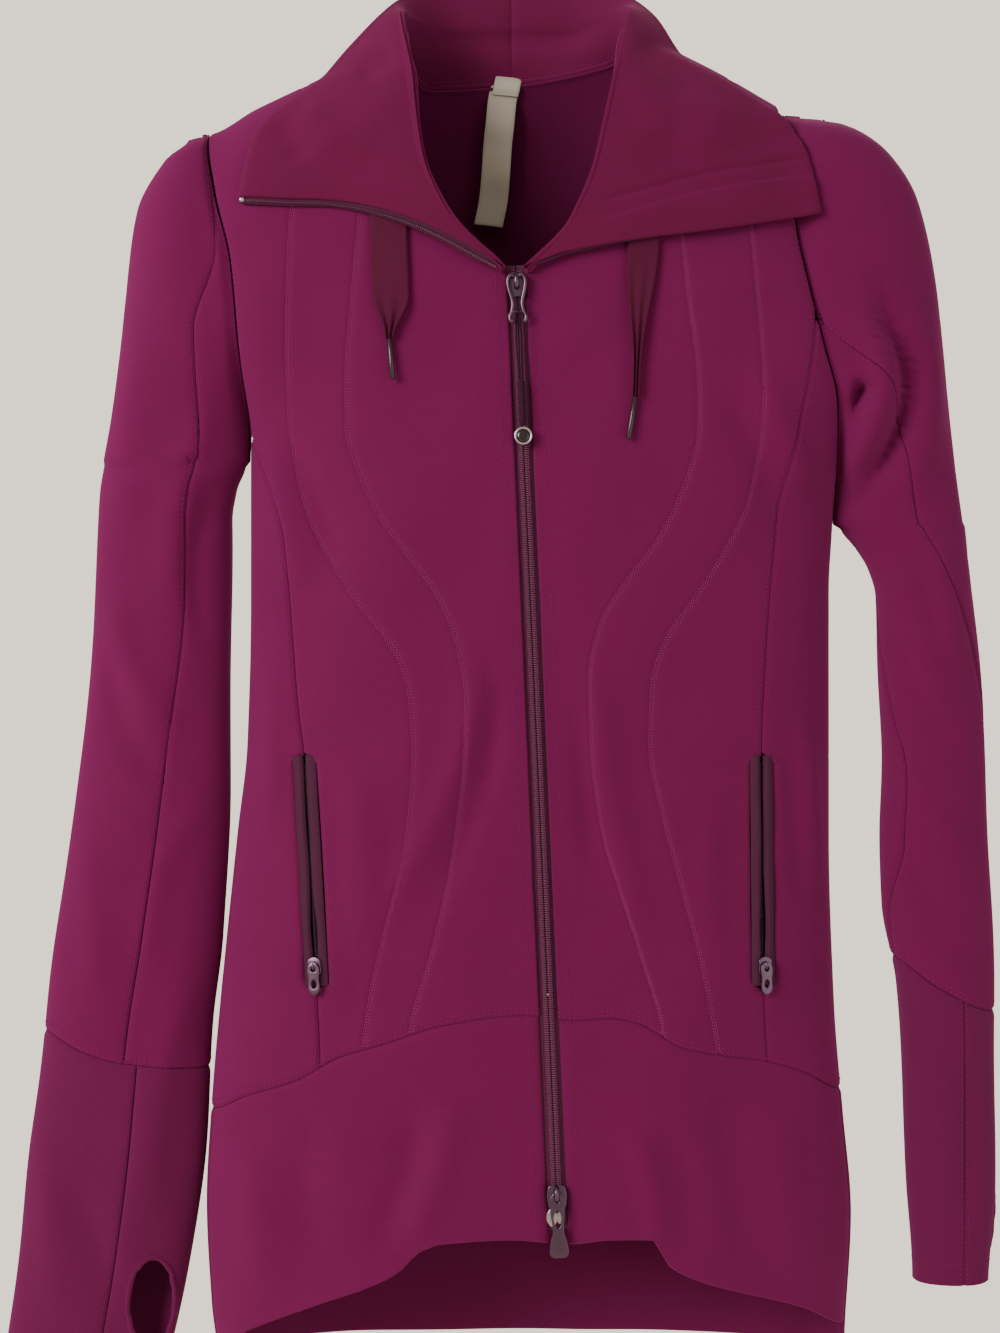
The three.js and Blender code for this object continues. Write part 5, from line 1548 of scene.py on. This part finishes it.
slider("slider_top", "slider_top", "slider_top_body", 0, main_zip)
slider("slider_bottom", "slider_bottom", "slider_bottom_body", CHAIN_END + 16, main_zip)
leg_route = [(0.9, -4.6, -4.4), (3.4, -5.0, -3.6), (5.0, -5.0, -6.8), (4.4, -4.9, -12), (2.7, -4.8, -19),
             (3.3, -4.8, -24), (4.6, -4.8, -27), (4.1, -4.8, -29.9), (2.4, -4.8, -29.4)]
for end in (-1, 1):
    leg = tube(f"pull_top_leg_{'left' if end > 0 else 'right'}",
               rail([(end * x, y, z) for x, y, z in leg_route], 60), 1.15, main_zip, "puller_top",
               plated_metal, 12)
    if end > 0:
        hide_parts("pull_top")
pull_bar = tube("pull_top_bar", np.array([(x, -4.85, -24.5) for x in np.linspace(-3.3, 3.3, 8)]), 0.65,
                main_zip, "puller_top", plated_metal)
low_pull = plate("pull_bottom_frame", [(x, z + CHAIN_END + 8) for x, z in BOTTOM_PULL], -5.5, -3.9, main_zip,
                 "puller_bottom", plated_metal,
                 [[(x, z + CHAIN_END + 8) for x, z in ring] for ring in
                  ([(-1.2, -0.8), (-1.2, -3.6), (1.2, -3.6), (1.2, -0.8)],
                   [(-0.9, -8), (-1.0, -18), (1.0, -18), (0.9, -8)])], 0.4)
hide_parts("pull_bottom")
box_left = plate("zip_box_clamp", [(-4.3, -4.2), (-2.2, -4.2), (-2.2, 4.4), (-4.3, 4.4)], -1.9, 1.6,
                 (main_zip[0], main_zip[1] + main_zip[0][2] * (CHAIN_END - 4.6)), "root", pale_metal)
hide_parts("zip_retainer_box")
plate("zip_pin_clamp", [(0.6, -4.0), (2.2, -4.0), (2.6, 1.5), (1.2, 2.4)], -1.8, 1.2,
      (main_zip[0], main_zip[1] + main_zip[0][2] * (CHAIN_END - 3.6)), "root", pale_metal)

# A narrow tape covers the neck seam inside, from one front edge round the back to the other.
around_neck = np.vstack([NECK_SEAM["right"], NECK_SEAM["left"][::-1][1:]])
plain_frame = np.identity(3), np.zeros(3)
neck_tape = tube("neck_seam_tape", through(around_neck[::8], 160), 2.6, plain_frame, "root", plum_collar)

# The pull's own cord: doubled through the eye and held in a dark sheath that ends in a plain disc.
LOOP = [(1.0, -4.9, -63), (1.1, -5.6, -54), (1.5, -6.7, -44), (1.3, -7.1, -34), (0.9, -7.1, -28.5),
        (0.5, -7.05, -25.3), (0.3, -6.41, -23.74), (0, -4.85, -23.1), (-0.3, -3.29, -23.74),
        (-0.5, -2.65, -25.3), (-0.9, -2.6, -28.5), (-1.3, -2.7, -34), (-1.5, -3.2, -44), (-1.1, -4.3, -54),
        (-1.0, -4.9, -63)]
loop_line = through(LOOP, 80)
loop_yarn = woven_material("pull_cord_yarn", linear(52, 14, 32), 0.7, 1500.0, 0.1)
loop_cord = tube("pull_cord_loop", loop_line, 0.5, main_zip, "puller_top", loop_yarn, 8)
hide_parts("pull_cord")
sheath_plastic = woven_material("sheath_braid", linear(62, 20, 42), 0.6, 900.0, 0.15)
sheath = tube("cord_sheath_braid", np.array([(0, -5, z) for z in np.linspace(-62.4, -89.6, 14)]), 1.9,
              main_zip, "puller_top", sheath_plastic, 14)
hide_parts("cord_sheath")
dark_enamel, _, enamel_shader = new_material("dark_enamel", linear(28, 20, 24), 0.25)
enamel_shader.inputs["Coat Weight"].default_value = 0.6
charm_place = np.array([0, -5, -95.2]) @ main_zip[0] + main_zip[1]
facing = -main_zip[0][1]
charm_rim = lathe("charm_rim", [(4.2, -1.2), (5.0, -1.1), (5.3, -0.4), (5.3, 0.4), (5.0, 1.1), (4.5, 1.25),
                                (4.1, 1.0), (3.9, 0.5)], charm_place, facing, pale_metal, "puller_top", 40)
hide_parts("charm_disc")
charm_face = lathe("charm_face", [(3.9, 0.3), (3.9, 0.62), (2.0, 0.78), (0.4, 0.82)], charm_place, facing,
                   dark_enamel, "puller_top", 32)

# ------------------------------------------------------------------ collar zip tapes
# The zip's two halves run on up the collar's front edges, so each lies open along its folded leaf.
for hand, sign in HAND.items():
    edge, edge_normal = LEAF_EDGE[hand]
    rows = 60
    path = through(edge, rows)
    out = through(edge_normal, rows)
    tucked = 1.6 if hand == "right" else 2.9
    drops = np.linspace(-2.5, 4.6, 7) if hand == "right" else np.linspace(-6.0, 0.2, 7)
    reach = smooth(np.linspace(0, 1, rows) / 0.12)[:, None, None] * 0.8 + 0.2
    tape_grid = (path[:, None, :] - out[:, None, :] * tucked
                 + np.array([0, 0, -1.0]) * drops[None, :, None] * reach)
    points, faces, uv = shell(tape_grid, 0.7, -np.repeat(out[:, None, :], 7, axis=1))
    tape = piece_from(f"collar_tape_{hand}", points, faces, tape_weave_cloth, None, uv)
    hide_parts(f"collar_zip_tape_{hand}")
    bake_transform(tape)
    if hand == "right":
        coil_path = path[2:-1] - out[2:-1] * 0.9 + np.array([0, 0, -3.4])
        open_coil = beaded(f"collar_coil_{hand}", [coil_path], 1.28, (1.1, 1.7, 2.4), coil)
        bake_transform(open_coil)
        stop = lathe("collar_zip_stop", [(0.9, -1.6), (1.5, -1.2), (1.6, 0.8), (1.0, 1.6)],
                     path[-1] + np.array([1.5, 0.4, -3.0]), (1, 0, 0.1), pale_metal, f"lapel_{hand}", 12)

# ------------------------------------------------------------------ pocket zips
# Each pocket opens along the princess seam: two woven tapes meet over a hidden coil, in a stitched
# slot, with a small slider parked at the bottom. The bag behind is thin knit.
for hand, sign in HAND.items():
    def seam_spot(z, shift=0.0, hand=hand):
        return front_point(turn_at(princess[hand](z) + shift, z), z)

    top, bottom = seam_spot(float(POCKET_TOP)), seam_spot(float(POCKET_BOTTOM))
    across = seam_spot(-470.0, 5.0) - seam_spot(-470.0, -5.0)
    outward = np.cross(across, top - bottom)
    outward = outward / np.linalg.norm(outward) * (-1 if outward[1] > 0 else 1)
    pocket = frame_of(top, bottom, outward)
    length = float(np.linalg.norm(top - bottom))
    rows = 70
    down = np.linspace(1.6, 0.4 - length, rows)
    share = np.linspace(0, 1, rows)
    for strip, ends in (("outer", (sign * 6.9, sign * 0.5)), ("inner", (-sign * 6.9, -sign * 0.5))):
        slit = 0.8 + 1.9 * np.exp(-((share - 0.76) / 0.13) ** 2) + 0.3 * np.sin(share * 11 + sign)
        fine = np.linspace(0, 1, 12)
        near = ends[1] * (1 + slit)
        x = mix(ends[0], near[:, None], fine[None, :])
        y = 0.5 - 1.3 * np.sin(fine * math.pi * 0.8)[None, :] + 0.9 * smooth((fine - 0.72) / 0.28)[None, :]
        y = y + 0.25 * np.sin(share * 17 + ends[0])[:, None]
        local = np.stack([x, np.broadcast_to(y, x.shape), np.repeat(down[:, None], 12, axis=1)], -1)
        strip_grid = local @ pocket[0] + pocket[1]
        inward = np.broadcast_to(pocket[0][1], strip_grid.shape)
        points, faces, uv = shell(strip_grid, 0.9, inward)
        tape = piece_from(f"pocket_tape_{strip}_{hand}", points, faces, tape_weave_cloth, "root", uv)
        if strip == "outer":
            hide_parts(f"pocket_welt_{hand}")
    # Painted shade: the coil in the slit is near black.
    coils = beaded(f"pocket_coil_{hand}", [[(0, 2.4, -3), (0, 2.4, 3 - length)]], 1.3, (1.1, 1.0, 2.6),
                   shaded_pocket_coil, *pocket)
    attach(coils, "root")
    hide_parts(f"pocket_zip_{hand}")
    face = plate(f"pocket_slider_{hand}_face",
                 [(-2.9, 0.4), (2.9, 0.4), (3.5, -3), (2.6, -8), (-2.6, -8), (-3.5, -3)], -2.3, -1.0,
                 (pocket[0], pocket[1] + pocket[0][2] * (15 - length)), f"pocket_slider_{hand}_body",
                 plated_metal, bevel=0.5)
    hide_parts(f"pocket_slider_{hand}")
    lug_line = [(0, -1.4, 14.2 - length), (0, -3.6, 13.4 - length), (0, -4.4, 11.6 - length),
                (0, -3.6, 9.8 - length), (0, -1.4, 9.0 - length)]
    lug = tube(f"pocket_lug_{hand}", rail(lug_line, 18), 0.6, pocket, f"pocket_slider_{hand}_body",
               plated_metal, 8)
    pull = plate(f"pocket_pull_{hand}_frame",
                 [(-1.9, 1), (1.9, 1), (2.8, -8), (1.8, -15.6), (-1.8, -15.6), (-2.8, -8)], -4.2, -2.9,
                 (pocket[0], pocket[1] + pocket[0][2] * (12 - length)), f"pocket_puller_{hand}",
                 plated_metal, [[(-1.1, -0.6), (-1.1, -3.4), (1.1, -3.4), (1.1, -0.6)],
                                [(-0.8, -8), (-0.8, -13), (0.8, -13), (0.8, -8)]], 0.35)
    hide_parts(f"pocket_pull_{hand}")
    repaint(f"pocket_bag_{hand}", plum_shaded)
    repaint(f"eyelet_{hand}", plated_metal)

# ------------------------------------------------------------------ labels
# Two plain woven labels sewn into the back neck seam: a small size tab over a long care label
# with two cross folds and a turned-up end.
satin = woven_material("label_satin", linear(226, 218, 204), 0.55, 2400.0, 0.03)


def label(name, node, route, width, lean, hangs_from):
    """A hanging strip through a few (x, y, z) points, with a slight curl across it."""
    middle = rail(route, 60)
    across = np.linspace(-0.5, 0.5, 9)
    curl = np.array([0, 1.0, 0])[None, None, :] * (across ** 2 * 2.4)[None, :, None]
    aside = np.array([math.cos(lean), 0.0, math.sin(lean)])
    grid = middle[:, None, :] + aside * (across * width)[None, :, None] + curl
    points, faces, uv = shell(grid, 0.4, np.broadcast_to(np.array([0, 1.0, 0]), grid.shape))
    piece = piece_from(name, points, faces, satin, "root", uv)
    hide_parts(node)
    return piece


label("care_label_strip", "care_label", [(-3.5, 33.5, -1), (-5.5, 32, -9), (-7, 30, -24), (-8.5, 31.6, -38),
                                         (-9.5, 29.6, -54), (-11, 31, -70), (-14, 28.4, -86)], 17, -0.12,
      "back_yoke_cloth")
label("size_label_tab", "size_label",
      [(-1.5, 35, 5), (-2.2, 31.5, 1.5), (-3.0, 30.0, -3), (-4.0, 30.6, -7)], 15.6, -0.1, "back_yoke_cloth")
